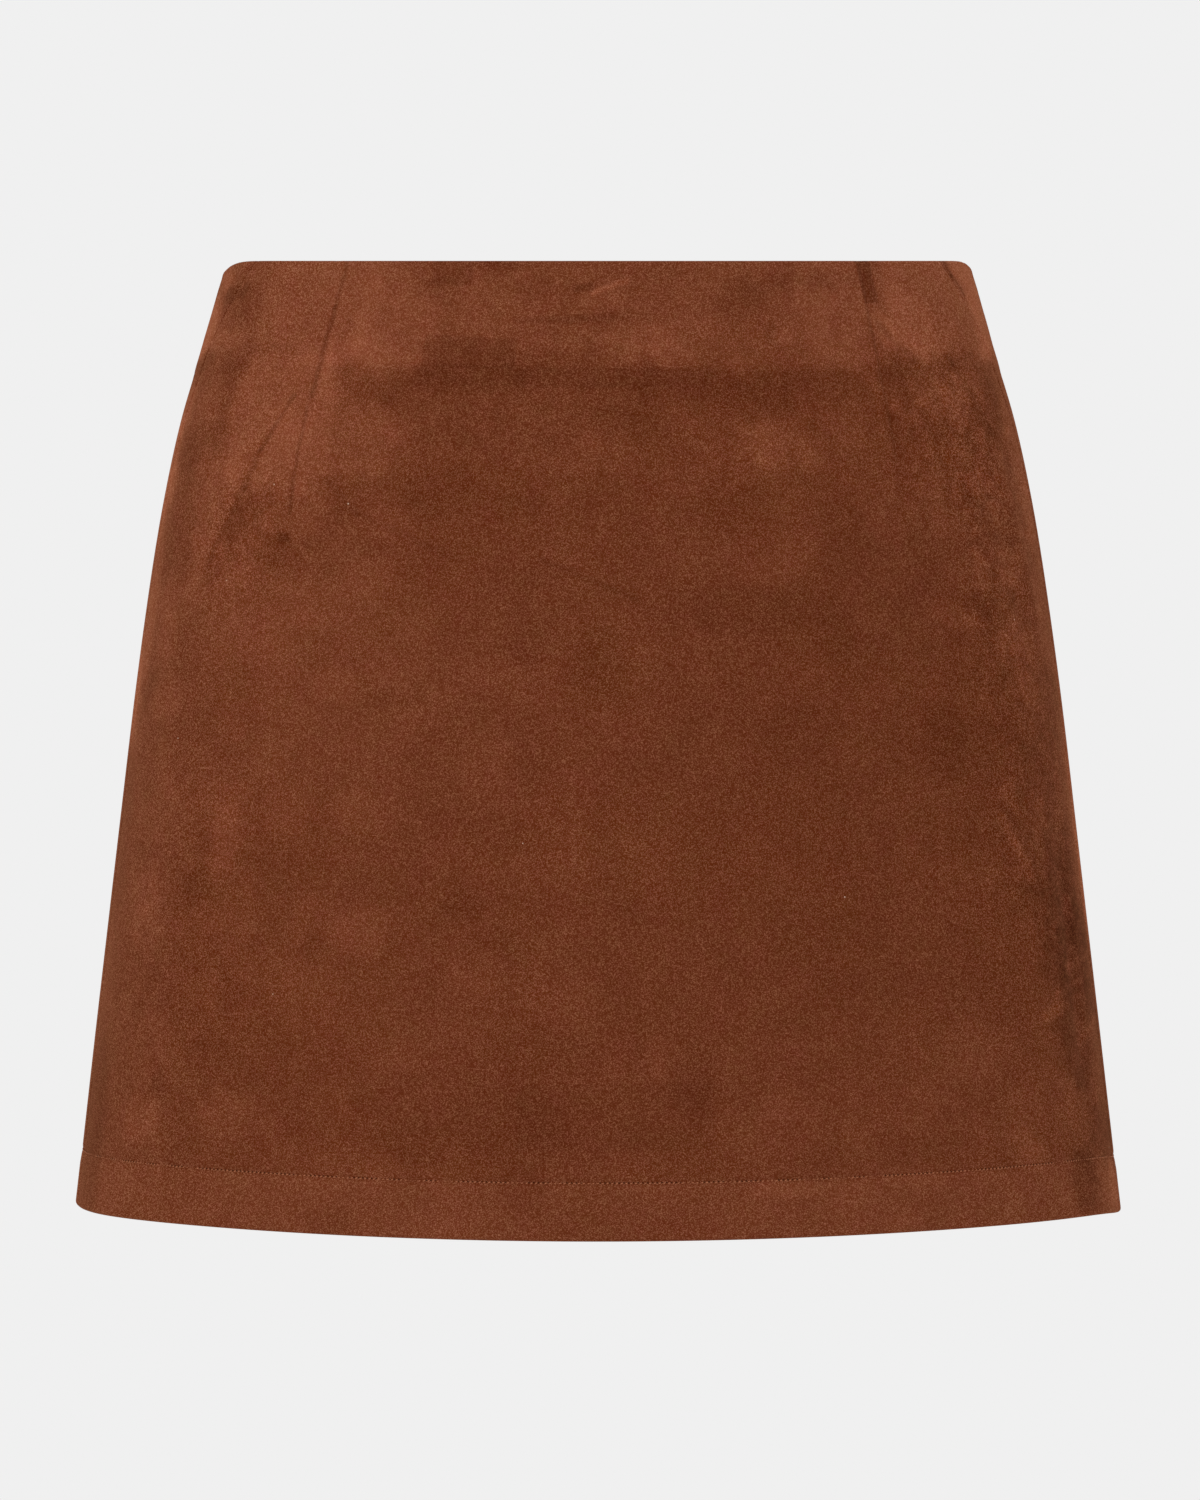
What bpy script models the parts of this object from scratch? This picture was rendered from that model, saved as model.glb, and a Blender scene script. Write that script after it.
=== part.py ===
"""A faux-suede mini skort: an A-line mini skirt with waist darts, sewn over a pair of light shorts.

Metres, +Z up, front towards -Y. The origin is the middle of the waist opening, level with the waist edge, where the
wearer's waist holds the garment; the cloth hangs below it, open at the waist, the hem and both legs. Sizes are in
millimetres and MM turns them into metres. A place on the skirt is an angle round from the centre front towards +X, a
depth below the waist, and an inset from the outer face towards the wearer.
"""

import math
from collections import namedtuple

import bmesh
import bpy
from mathutils import Vector

MM = 0.001

# The whole garment
SIDE_LENGTH = 353.5  # waist edge to hem, down a side seam
SEAM_GAP = 0.3  # between two pieces that are sewn together
WAIST_DIP = 3.2  # the waist edge is this much lower at the side seams
WAIST_DIP_SPREAD_DEG = 10.0
HEM_DROP = 3.4  # the hem is this much lower at the centre front and back

# Cloth
SUEDE = 1.1
FACING = 1.0
JERSEY = 1.0
TAPE = 1.0
WAIST_FOLD_RADIUS = 1.6
HEM_FOLD_RADIUS = 1.3
FOLD_STEPS = 4
WAIST_TURN = 4.5  # depth of the cloth turned in at the waist
HEM_TURN = 25.0  # height of the cloth turned up at the hem

# Darts
FRONT_DART_DEG = 44.0  # from the centre front
FRONT_DART_LENGTH = 92.0
BACK_DART_DEG = 40.0  # from the centre back
BACK_DART_LENGTH = 115.0
DART_SINK = 0.6
DART_HALF_WIDTH = 2.6

# Waist facing and centre back zip
FACING_INSET = 2.0
FACING_DEPTH = 38.0
TAPE_INNER_EDGE = 1.0  # from the centre back
TAPE_OUTER_EDGE = 11.0
ZIP_LENGTH = 178.0
ZIP_MOUTH = 0.8  # half the gap that the slider's neck runs in
ZIP_MOUTH_DEPTH = 20.0
ZIP_CLOSED_DEPTH = 32.0
PIVOT_DEPTH = 12.0
PIVOT_STANDOFF = 2.0

# Shorts
SHORTS_TOP = 30.0
RISE_START = 185.0  # where the centre seams begin to curve under
CROTCH = 262.0
LEG_HEM = 314.0
LEG_GAP_AT_HEM = 8.0  # from the middle to the inside of a leg
LEG_HALF_DEPTH = 96.0
LEG_HALF_DEPTH_AT_HEM = 88.0
LEG_MARGIN_AT_HEM = 18.5
INSEAM_SHARE = 0.00028  # half the seam gap, as a share of a leg's girth

Section = namedtuple("Section", "depth half_width front back seam_deg")
SKIRT = [
    Section(0.0, 138.4, 97.0, 98.0, 66.0),
    Section(15.0, 142.3, 101.0, 103.0, 72.0),
    Section(30.0, 146.7, 105.0, 108.0, 77.0),
    Section(60.0, 155.5, 110.5, 116.0, 82.0),
    Section(90.0, 162.0, 114.5, 122.0, 84.0),
    Section(120.0, 167.0, 117.8, 126.0, 84.0),
    Section(160.0, 172.5, 121.0, 129.5, 84.0),
    Section(210.0, 178.4, 125.0, 133.0, 84.0),
    Section(280.0, 186.6, 130.0, 137.5, 84.0),
    Section(360.0, 195.9, 136.0, 142.5, 84.0),
]

Margin = namedtuple("Margin", "depth side front back")
SHORTS_MARGINS = [  # how far the shorts lie inside the skirt
    Margin(0.0, 3.6, 3.6, 3.6),
    Margin(40.0, 3.8, 3.8, 3.8),
    Margin(90.0, 5.0, 5.0, 5.0),
    Margin(150.0, 7.0, 8.0, 8.0),
    Margin(200.0, 9.5, 13.0, 13.0),
    Margin(CROTCH, 13.0, 25.0, 28.0),
]

BODY_DEPTHS = [12, 24, 38, 52, 70, 92, 120, 155, 195, 235, 275, 312]
FACING_DEPTHS = [WAIST_TURN + SEAM_GAP, 14, 26, FACING_DEPTH]
TAPE_DEPTHS = [WAIST_TURN + SEAM_GAP, 20, 45, 75, 105, 140, ZIP_LENGTH]
FRONT_SEGMENTS = [5, 1, 1, 4, 4, 1, 1, 5]
BACK_SEGMENTS = [6, 1, 1, 4]
SHORTS_UPPER_DEPTHS = [SHORTS_TOP, 50, 75, 105, 145]
RISE_STEPS = 8
LEG_STEPS = 3
LEG_COLUMNS = 20

Row = namedtuple("Row", "face_inset face_depth back_inset back_depth")
Finish = namedtuple("Finish", "colour roughness metallic")
FINISHES = {
    "suede": Finish((0.155, 0.043, 0.018), 0.92, 0.0),
    "facing_cloth": Finish((0.105, 0.036, 0.018), 0.85, 0.0),
    "jersey": Finish((0.085, 0.034, 0.020), 0.8, 0.0),
    "zip_tape": Finish((0.095, 0.034, 0.018), 0.8, 0.0),
    "zip_metal": Finish((0.16, 0.060, 0.032), 0.35, 0.6),
}


# ---------------------------------------------------------------- tables

def smooth_row(table, depth):
    """The values of a table at any depth, on a smooth curve through its rows."""
    depth = min(max(depth, table[0].depth), table[-1].depth)
    above = max(k for k in range(len(table) - 1) if table[k].depth <= depth)
    low, high = table[above], table[above + 1]
    span = high.depth - low.depth
    share = (depth - low.depth) / span

    def slope(k):
        first, last = table[max(k - 1, 0)], table[min(k + 1, len(table) - 1)]
        return [(b - a) / (last.depth - first.depth) for a, b in zip(first, last)]

    start, end = slope(above), slope(above + 1)
    values = []
    for a, b, m, n in zip(low, high, start, end):
        bend = share * (1 - share) * span
        straight = a + (b - a) * share
        steepness = (b - a) / span
        values.append(straight + bend * ((m - steepness) * (1 - share) - (n - steepness) * share))
    return type(low)(*values)


def spread(marks, counts):
    """Every mark, with the spaces between them cut into that many equal steps."""
    angles = [marks[0]]
    for first, last, count in zip(marks, marks[1:], counts):
        angles += [first + (last - first) * step / count for step in range(1, count + 1)]
    return angles


# ---------------------------------------------------------------- the skirt's form

def hung_depth(angle, nominal):
    """The real depth of a place that is nominally that far down its panel."""
    share = nominal / SIDE_LENGTH
    off_side = (math.degrees(abs(angle)) - 90.0) / WAIST_DIP_SPREAD_DEG
    waist = WAIST_DIP * math.exp(-off_side * off_side)
    hem = HEM_DROP * abs(math.cos(angle)) ** 3
    return nominal + (1 - share) * waist + share * hem


def dart_sink(angle, depth):
    """How far the stitched line of the nearest dart draws the cloth in."""
    around = abs(angle)
    if around < math.pi / 2:
        middle, length = math.radians(FRONT_DART_DEG), FRONT_DART_LENGTH
    else:
        middle, length = math.pi - math.radians(BACK_DART_DEG), BACK_DART_LENGTH
    across = abs(around - middle) * smooth_row(SKIRT, depth).half_width / DART_HALF_WIDTH
    return DART_SINK * max(0.0, 1 - across) * max(0.0, 1 - (depth / length) ** 2)


def skirt_point(angle, nominal, inset=0.0):
    """A point of the skirt's outer face, or that far inside it."""
    depth = hung_depth(angle, nominal)
    here, below = smooth_row(SKIRT, depth), smooth_row(SKIRT, depth + 1)
    sine, cosine = math.sin(angle), math.cos(angle)
    reach, reach_below = (here.front, below.front) if cosine > 0 else (here.back, below.back)
    point = Vector((here.half_width * sine, -reach * cosine, -depth))
    around = Vector((here.half_width * cosine, reach * sine, 0))
    down = Vector((below.half_width * sine, -reach_below * cosine, -depth - 1)) - point
    return point + around.cross(down).normalized() * inset


def zip_half_gap(nominal):
    """Half the gap at the centre back: open for the slider's neck, then closed as a seam."""
    closing = (nominal - ZIP_MOUTH_DEPTH) / (ZIP_CLOSED_DEPTH - ZIP_MOUTH_DEPTH)
    share = min(max(closing, 0.0), 1.0)
    return ZIP_MOUTH + (SEAM_GAP / 2 - ZIP_MOUTH) * share


def side_seam(nominal):
    """The side seam's angle, and the angle that half a seam gap takes there."""
    row = smooth_row(SKIRT, nominal)
    return math.radians(row.seam_deg), SEAM_GAP / 2 / row.front


def front_angles(nominal):
    """The front's columns, from one side seam to the other."""
    seam, gap = side_seam(nominal)
    dart = math.radians(FRONT_DART_DEG)
    crease = DART_HALF_WIDTH / smooth_row(SKIRT, nominal).half_width
    right = [dart - crease, dart, dart + crease, seam - gap]
    return spread([-angle for angle in reversed(right)] + [0.0] + right, FRONT_SEGMENTS)


def back_angles(nominal):
    """The columns of the back's +X half, from the side seam to the centre back."""
    seam, gap = side_seam(nominal)
    half_width = smooth_row(SKIRT, nominal).half_width
    dart = math.pi - math.radians(BACK_DART_DEG)
    crease = DART_HALF_WIDTH / half_width
    middle = math.pi - zip_half_gap(nominal) / half_width
    return spread([seam + gap, dart - crease, dart, dart + crease, middle], BACK_SEGMENTS)


def back_facing_angles(nominal):
    """The columns of the back facing's +X half, which ends beside the zip tape."""
    seam, gap = side_seam(nominal)
    half_width = smooth_row(SKIRT, nominal).half_width
    end = math.pi - (TAPE_OUTER_EDGE + SEAM_GAP) / half_width
    return spread([seam + gap, end], [9])


def tape_angles(nominal):
    """The columns of the zip tape's +X half."""
    half_width = smooth_row(SKIRT, nominal).half_width
    return [math.pi - x / half_width for x in (TAPE_OUTER_EDGE, 6.0, TAPE_INNER_EDGE)]


# ---------------------------------------------------------------- walls

def fold_rows(edge, towards, radius):
    """Rows round an edge that is folded in, from the outer face to the turned-in layer."""
    rows = []
    for step in range(FOLD_STEPS + 1):
        cosine, sine = (f(math.pi * step / FOLD_STEPS) for f in (math.cos, math.sin))
        face, back = radius, radius - SUEDE
        rows.append(
            Row(
                radius - face * cosine,
                edge - towards * (radius - face * sine),
                radius - back * cosine,
                edge - towards * (radius - back * sine),
            )
        )
    return rows


def turned_end(nominal, radius):
    """The row where a turned-in layer ends."""
    return Row(2 * radius, nominal, 2 * radius - SUEDE, nominal)


def panel_rows():
    """A suede panel from the end of its waist turning, over the edge, down to the end of its hem."""
    waist = fold_rows(0.0, -1, WAIST_FOLD_RADIUS)[::-1]
    hem = fold_rows(SIDE_LENGTH, 1, HEM_FOLD_RADIUS)
    body = [Row(0.0, nominal, SUEDE, nominal) for nominal in BODY_DEPTHS]
    start = turned_end(WAIST_TURN, WAIST_FOLD_RADIUS)
    end = turned_end(SIDE_LENGTH - HEM_TURN, HEM_FOLD_RADIUS)
    return [start] + waist + body + hem + [end]


def flat_rows(nominals, inset, thickness):
    """A plain strip between two insets."""
    return [Row(inset, nominal, inset + thickness, nominal) for nominal in nominals]


def skirt_grids(rows, angles_at, darted):
    """The two faces of a piece that follows the skirt, each a list of rows of points."""
    face, back = [], []
    for row in rows:
        angles = angles_at(row.face_depth)
        sinks = [dart_sink(angle, row.face_depth) if darted else 0.0 for angle in angles]
        face.append(
            [skirt_point(a, row.face_depth, row.face_inset + s) for a, s in zip(angles, sinks)]
        )
        back.append(
            [skirt_point(a, row.back_depth, row.back_inset + s) for a, s in zip(angles, sinks)]
        )
    return face, back


def cloth_wall(name, face, back, material, side=1):
    """A closed wall between two grids of points. side -1 gives its mirror image across the middle."""
    mesh = bmesh.new()
    layers = [
        [[mesh.verts.new(Vector((side * p.x, p.y, p.z)) * MM) for p in row] for row in grid]
        for grid in (face, back)
    ]
    last_row, last_column = len(face) - 1, len(face[0]) - 1
    for front, grid in zip((True, False), layers):
        for r in range(last_row):
            for c in range(last_column):
                quad = [grid[r][c], grid[r + 1][c], grid[r + 1][c + 1], grid[r][c + 1]]
                mesh.faces.new(quad if front else quad[::-1])
    rim = [(0, c) for c in range(last_column)]
    rim += [(r, last_column) for r in range(last_row)]
    rim += [(last_row, c) for c in range(last_column, 0, -1)]
    rim += [(r, 0) for r in range(last_row, 0, -1)]
    for (r, c), (r_next, c_next) in zip(rim, rim[1:] + rim[:1]):
        outer, inner = layers
        mesh.faces.new([outer[r][c], outer[r_next][c_next], inner[r_next][c_next], inner[r][c]])
    return finished(name, mesh, material)


def finished(name, mesh, material, sharp_deg=40.0):
    """The object of a finished bmesh, with its faces out, smooth but for its sharp edges."""
    mesh.normal_update()
    bmesh.ops.recalc_face_normals(mesh, faces=mesh.faces)
    data = bpy.data.meshes.new(name)
    mesh.to_mesh(data)
    mesh.free()
    data.shade_smooth()
    data.set_sharp_from_angle(angle=math.radians(sharp_deg))
    data.materials.append(material)
    made = bpy.data.objects.new(name, data)
    bpy.context.scene.collection.objects.link(made)
    return made


# ---------------------------------------------------------------- the shorts' form

def ease(share):
    """0 to 1 with a level start and end."""
    share = min(max(share, 0.0), 1.0)
    return share * share * (3 - 2 * share)


def shorts_body(round_share, depth):
    """A point on one side of the body's ring, from the centre front (0) to the centre back (1)."""
    skirt, margin = smooth_row(SKIRT, depth), smooth_row(SHORTS_MARGINS, depth)
    angle = math.pi * round_share
    front, back = skirt.front - margin.front, skirt.back - margin.back
    reach = front if math.cos(angle) > 0 else back
    return Vector(
        ((skirt.half_width - margin.side) * math.sin(angle), -reach * math.cos(angle), -depth)
    )


def shorts_leg(round_share, depth):
    """A point on a leg's ring, from its inseam (0) round the front and the outside back to it (1)."""
    down = min(max((depth - CROTCH) / (LEG_HEM - CROTCH), 0.0), 1.0)
    side = smooth_row(SKIRT, depth).half_width - smooth_row(SHORTS_MARGINS, depth).side
    outside = side + down * (smooth_row(SHORTS_MARGINS, CROTCH).side - LEG_MARGIN_AT_HEM)
    inside = SEAM_GAP / 2 + down * (LEG_GAP_AT_HEM - SEAM_GAP / 2)
    half_depth = LEG_HALF_DEPTH + down * (LEG_HALF_DEPTH_AT_HEM - LEG_HALF_DEPTH)
    angle = 2 * math.pi * round_share
    middle, half_width = (inside + outside) / 2, (outside - inside) / 2
    return Vector(
        (middle - half_width * math.cos(angle), -half_depth * math.sin(angle), -depth)
    )


def shorts_point(round_share, depth, under):
    """A point of the shorts' outer face. under is how far the centre seams have curved to the crotch, 0 to 1."""
    over_leg = ease((depth - SHORTS_UPPER_DEPTHS[-1]) / (CROTCH - SHORTS_UPPER_DEPTHS[-1]))
    away_from_seam = math.sin(math.pi * round_share)
    share = under + (over_leg - under) * away_from_seam
    return this_side(shorts_body(round_share, depth).lerp(shorts_leg(round_share, depth), share))


def this_side(point):
    """The point, kept half a seam gap off the middle of the garment."""
    point.x = max(point.x, SEAM_GAP / 2)
    return point


def shorts_rows():
    """(depth, under) of each row, from the top edge by way of the crotch to the leg's hem."""
    rows = [(depth, 0.0) for depth in SHORTS_UPPER_DEPTHS]
    for step in range(RISE_STEPS + 1):
        turn = math.pi / 2 * step / RISE_STEPS
        rows.append((RISE_START + (CROTCH - RISE_START) * math.sin(turn), 1 - math.cos(turn)))
    for step in range(1, LEG_STEPS + 1):
        rows.append((CROTCH + (LEG_HEM - CROTCH) * step / LEG_STEPS, 1.0))
    return rows


def shorts_grids():
    """The two faces of the shorts' +X half."""
    rows = shorts_rows()
    shares = [
        INSEAM_SHARE + (1 - 2 * INSEAM_SHARE) * column / LEG_COLUMNS
        for column in range(LEG_COLUMNS + 1)
    ]
    face = [[shorts_point(share, *row) for share in shares] for row in rows]
    step = INSEAM_SHARE / 2
    back = []
    for r, row in enumerate(rows):
        above, below = face[max(r - 1, 0)], face[min(r + 1, len(rows) - 1)]
        line = []
        for c, share in enumerate(shares):
            around = shorts_point(share + step, *row) - shorts_point(share - step, *row)
            inwards = around.cross(below[c] - above[c]).normalized()
            line.append(this_side(face[r][c] + inwards * JERSEY))
        back.append(line)
    return face, back


# ---------------------------------------------------------------- the zip's slider and pull tab

EYE_HOLE_RADIUS = 0.85
EYE_RADIUS = 1.6
EYE_HALF_WIDTH = 0.7
NECK_HALF_WIDTH = 0.5
NECK_HALF_HEIGHT = 1.3
SLIDER_INSET = 3.4
SLIDER_SIZE = (5.2, 2.4, 10.0)
TAB_THICKNESS = 0.9
TAB_LEAN_DEG = 2.5  # the end of the tab lies nearer the cloth than its top
TAB_LENGTH = 21.0
TAB_TOP_HALF_WIDTH = 1.9
TAB_END_HALF_WIDTH = 2.6
SLOT_HALF_WIDTH = 1.05
SLOT_REACH = 2.35  # from the pivot to the foot of the slot


def pivot_place():
    """The pull tab's pivot at the centre back, and the slope of the cloth under it."""
    on_cloth = skirt_point(math.pi, PIVOT_DEPTH)
    outwards = (on_cloth - skirt_point(math.pi, PIVOT_DEPTH, 1.0)).normalized()
    return on_cloth + outwards * PIVOT_STANDOFF, math.atan2(-outwards.z, outwards.y) * -1


def at_pivot(made, lean=0.0):
    """Puts an object that is drawn round the pivot, its Y away from the cloth, in its place."""
    place, slope = pivot_place()
    made.location = place * MM
    made.rotation_euler = (slope - lean, 0, 0)
    return made


def block(name, size, centre, material):
    """A plain block, in millimetres round the pivot."""
    mesh = bmesh.new()
    bmesh.ops.create_cube(mesh, size=MM)
    for vert in mesh.verts:
        vert.co = Vector([s * c + m * MM for s, c, m in zip(size, vert.co, centre)])
    return finished(name, mesh, material)


def roller(name, radius, half_width, material):
    """A round bar along X at the pivot."""
    mesh = bmesh.new()
    bmesh.ops.create_cone(
        mesh, cap_ends=True, segments=20, radius1=radius * MM, radius2=radius * MM,
        depth=2 * half_width * MM,
    )
    for vert in mesh.verts:
        vert.co = Vector((vert.co.z, vert.co.y, -vert.co.x))
    return finished(name, mesh, material)


def combine(made, other, operation):
    """Joins other to an object, or cuts it out of it, and keeps other as a guide."""
    modifier = made.modifiers.new(other.name, "BOOLEAN")
    modifier.operation = operation
    modifier.object = other
    other.hide_render = True
    other.display_type = "WIRE"


def make_slider(material):
    """The slider: its body inside the skirt, a neck through the seam, and the eye that the tab hangs in."""
    width, thick, height = SLIDER_SIZE
    body_middle = -(PIVOT_STANDOFF + SLIDER_INSET + thick / 2)
    neck_length = PIVOT_STANDOFF + SLIDER_INSET + thick / 2 - 1.0
    slider = block("zip_slider", (width, thick, height), (0, body_middle, 0), material)
    neck = block(
        "neck_guide",
        (2 * NECK_HALF_WIDTH, neck_length, 2 * NECK_HALF_HEIGHT),
        (0, -1.0 - neck_length / 2, 0),
        material,
    )
    eye = roller("eye_guide", EYE_RADIUS, EYE_HALF_WIDTH, material)
    hole = roller("eye_hole_guide", EYE_HOLE_RADIUS, 2 * EYE_HALF_WIDTH, material)
    combine(slider, neck, "UNION")
    combine(slider, eye, "UNION")
    combine(slider, hole, "DIFFERENCE")
    for made in (slider, neck, eye, hole):
        at_pivot(made)


def loop_edges(mesh, points):
    """A closed loop of edges through points of the XZ plane, on the tab's back face."""
    verts = [mesh.verts.new(Vector((x, -TAB_THICKNESS / 2, z)) * MM) for x, z in points]
    return [mesh.edges.new(pair) for pair in zip(verts, verts[1:] + verts[:1])]


def make_pull_tab(material):
    """The pull tab: a flat teardrop with a slot, whose top bar turns in the slider's eye."""
    bar = TAB_THICKNESS / 2
    end_centre = TAB_LENGTH - TAB_END_HALF_WIDTH
    left = [(-TAB_TOP_HALF_WIDTH, bar), (-TAB_TOP_HALF_WIDTH, -SLOT_REACH - 1.0)]
    end = []
    for step in range(9):
        turn = math.pi * step / 8
        end.append(
            (-TAB_END_HALF_WIDTH * math.cos(turn), -end_centre - TAB_END_HALF_WIDTH * math.sin(turn))
        )
    right = [(-x, z) for x, z in reversed(left)]
    slot = [
        (-SLOT_HALF_WIDTH, -bar),
        (SLOT_HALF_WIDTH, -bar),
        (SLOT_HALF_WIDTH, -SLOT_REACH),
        (-SLOT_HALF_WIDTH, -SLOT_REACH),
    ]
    mesh = bmesh.new()
    edges = loop_edges(mesh, left + end + right) + loop_edges(mesh, slot)
    bmesh.ops.triangle_fill(mesh, edges=edges, use_beauty=True)
    raised = bmesh.ops.extrude_face_region(mesh, geom=mesh.faces[:])["geom"]
    for vert in (item for item in raised if isinstance(item, bmesh.types.BMVert)):
        vert.co.y += TAB_THICKNESS * MM
    tab = finished("zip_pull_tab", mesh, material, sharp_deg=30.0)
    at_pivot(tab, math.radians(TAB_LEAN_DEG))
    rounding = tab.modifiers.new("rounded_edges", "BEVEL")
    rounding.width = 0.12 * MM
    rounding.segments = 1
    rounding.angle_limit = math.radians(50)


# ---------------------------------------------------------------- assembly

def clear_scene():
    for old in list(bpy.data.objects):
        bpy.data.objects.remove(old)


def make_materials():
    made = {}
    for name, finish in FINISHES.items():
        material = bpy.data.materials.new(name)
        material.use_nodes = True
        shader = material.node_tree.nodes["Principled BSDF"]
        shader.inputs["Base Color"].default_value = (*finish.colour, 1)
        shader.inputs["Roughness"].default_value = finish.roughness
        shader.inputs["Metallic"].default_value = finish.metallic
        made[name] = material
    return made


def make_skirt(materials):
    """Front and two backs, cut with darts, their waist edge and hem turned in."""
    cloth_wall("skirt_front", *skirt_grids(panel_rows(), front_angles, True), materials["suede"])
    for name, side in (("skirt_back_left", 1), ("skirt_back_right", -1)):
        grids = skirt_grids(panel_rows(), back_angles, True)
        cloth_wall(name, *grids, materials["suede"], side)


def make_facings(materials):
    """The shaped strips that line the waist, one behind each panel."""
    rows = flat_rows(FACING_DEPTHS, FACING_INSET, FACING)
    cloth = materials["facing_cloth"]
    cloth_wall("facing_front", *skirt_grids(rows, front_angles, False), cloth)
    for name, side in (("facing_back_left", 1), ("facing_back_right", -1)):
        cloth_wall(name, *skirt_grids(rows, back_facing_angles, False), cloth, side)


def make_zip(materials):
    """Both tapes behind the centre back seam, the slider near the waist, and its pull tab."""
    rows = flat_rows(TAPE_DEPTHS, FACING_INSET, TAPE)
    for name, side in (("zip_tape_left", 1), ("zip_tape_right", -1)):
        cloth_wall(name, *skirt_grids(rows, tape_angles, False), materials["zip_tape"], side)
    make_slider(materials["zip_metal"])
    make_pull_tab(materials["zip_metal"])


def make_shorts(materials):
    """A left and a right half, each cut in one round its leg, met at the centre seams."""
    for name, side in (("shorts_left", 1), ("shorts_right", -1)):
        cloth_wall(name, *shorts_grids(), materials["jersey"], side)


def main():
    clear_scene()
    materials = make_materials()
    make_skirt(materials)
    make_facings(materials)
    make_zip(materials)
    make_shorts(materials)


main()
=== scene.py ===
"""The looks of a brown faux-suede mini skort, hung from its waist and filled out with no wearer.

The frame is in metres: +Z up, front towards -Y, origin in the middle of the waist opening. Sizes here are
in millimetres, and MM turns them into metres. A place on the skirt is an angle round from the centre front
towards +X, a depth below the waist, and an inset from the outer face towards the wearer, as in the solids.
"""

import math
from collections import namedtuple

import bpy
import numpy as np
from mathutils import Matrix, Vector


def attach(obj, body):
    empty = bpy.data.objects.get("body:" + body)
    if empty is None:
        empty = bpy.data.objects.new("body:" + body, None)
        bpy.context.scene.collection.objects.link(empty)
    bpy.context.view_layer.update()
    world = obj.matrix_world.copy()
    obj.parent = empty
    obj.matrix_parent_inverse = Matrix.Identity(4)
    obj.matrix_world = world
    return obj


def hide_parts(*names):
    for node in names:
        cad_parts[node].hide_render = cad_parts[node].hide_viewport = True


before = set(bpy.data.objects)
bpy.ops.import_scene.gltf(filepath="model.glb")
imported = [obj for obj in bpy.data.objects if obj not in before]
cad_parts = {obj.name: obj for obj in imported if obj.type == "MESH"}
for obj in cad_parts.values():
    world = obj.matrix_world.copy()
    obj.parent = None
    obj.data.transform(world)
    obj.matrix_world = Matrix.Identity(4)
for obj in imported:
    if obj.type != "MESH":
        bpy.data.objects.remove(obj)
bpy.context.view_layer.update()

MM = 0.001


def table(kind, *rows):
    """The rows of a table, each as a named tuple of its kind."""
    return [kind(*row) for row in rows]


# ---- sizes shared with the solids

SIDE_LENGTH = 353.5
SEAM_GAP = 0.3  # between the solids; here only the facings and tapes keep it, above and between them
HEM_DROP = 3.4
SUEDE = 1.1
FACING = 1.0
JERSEY = 1.0
TAPE = 1.0
WAIST_FOLD_RADIUS = 1.6
HEM_FOLD_RADIUS = 1.3
WAIST_TURN = 4.5
HEM_TURN = 25.0
HEM_STITCH_HEIGHT = 21.0
STITCH_DEPTH = SIDE_LENGTH - HEM_STITCH_HEIGHT
FRONT_DART_DEG = 44.0
FRONT_DART_LENGTH = 92.0
BACK_DART_DEG = 40.0
BACK_DART_LENGTH = 115.0
FACING_INSET = 2.0
FACING_DEPTH = 38.0
TAPE_INNER_EDGE = 1.0
TAPE_OUTER_EDGE = 11.0
ZIP_LENGTH = 178.0
ZIP_HALF_MOUTH = 0.8
ZIP_MOUTH_DEPTH = 20.0
ZIP_CLOSED_DEPTH = 32.0
SHORTS_TOP = 30.0
BLEND_START = 145.0
RISE_START = 185.0
CROTCH = 262.0
LEG_HEM = 314.0
LEG_GAP_AT_HEM = 8.0
LEG_HALF_DEPTH = 96.0
LEG_HALF_DEPTH_AT_HEM = 88.0
LEG_MARGIN_AT_HEM = 18.5

Section = namedtuple("Section", "depth half_width front back seam_deg")
SKIRT = table(
    Section,
    (0, 138.4, 97, 98, 66),
    (15, 142.3, 101, 103, 72),
    (30, 146.7, 105, 108, 77),
    (60, 155.5, 110.5, 116, 82),
    (90, 162, 114.5, 122, 84),
    (120, 167, 117.8, 126, 84),
    (160, 172.5, 121, 129.5, 84),
    (210, 178.4, 125, 133, 84),
    (280, 186.6, 130, 137.5, 84),
    (360, 195.9, 136, 142.5, 84),
)

SideEnds = namedtuple("SideEnds", "waist_dip waist_spread_deg hem_lift hem_spread_deg")
LEFT = SideEnds(4.0, 11.0, 1.1, 12.0)
RIGHT = SideEnds(2.6, 8.0, -1.7, 12.0)

Margin = namedtuple("Margin", "depth side front back")
SHORTS_MARGINS = table(
    Margin,
    (0, 3.6, 3.6, 3.6),
    (40, 3.8, 3.8, 3.8),
    (90, 5, 5, 5),
    (150, 7, 8, 8),
    (200, 9.5, 13, 13),
    (CROTCH, 13, 25, 28),
)

# Flat size and area of each sheet, in metres. A tape fills its rectangle.
Cut = namedtuple("Cut", "flat area")
FRONT_CUT = Cut((0.495, 0.395), 0.17)
BACK_CUT = Cut((0.283, 0.418), 0.0994)
FRONT_FACING_CUT = Cut((0.352, 0.042), 0.0113)
BACK_FACING_CUT = Cut((0.204, 0.087), 0.0073)
TAPE_CUT = Cut((0.01, 0.174), None)
SHORTS_CUT = Cut((0.561, 0.323), 0.133)

# ---- creases

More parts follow.
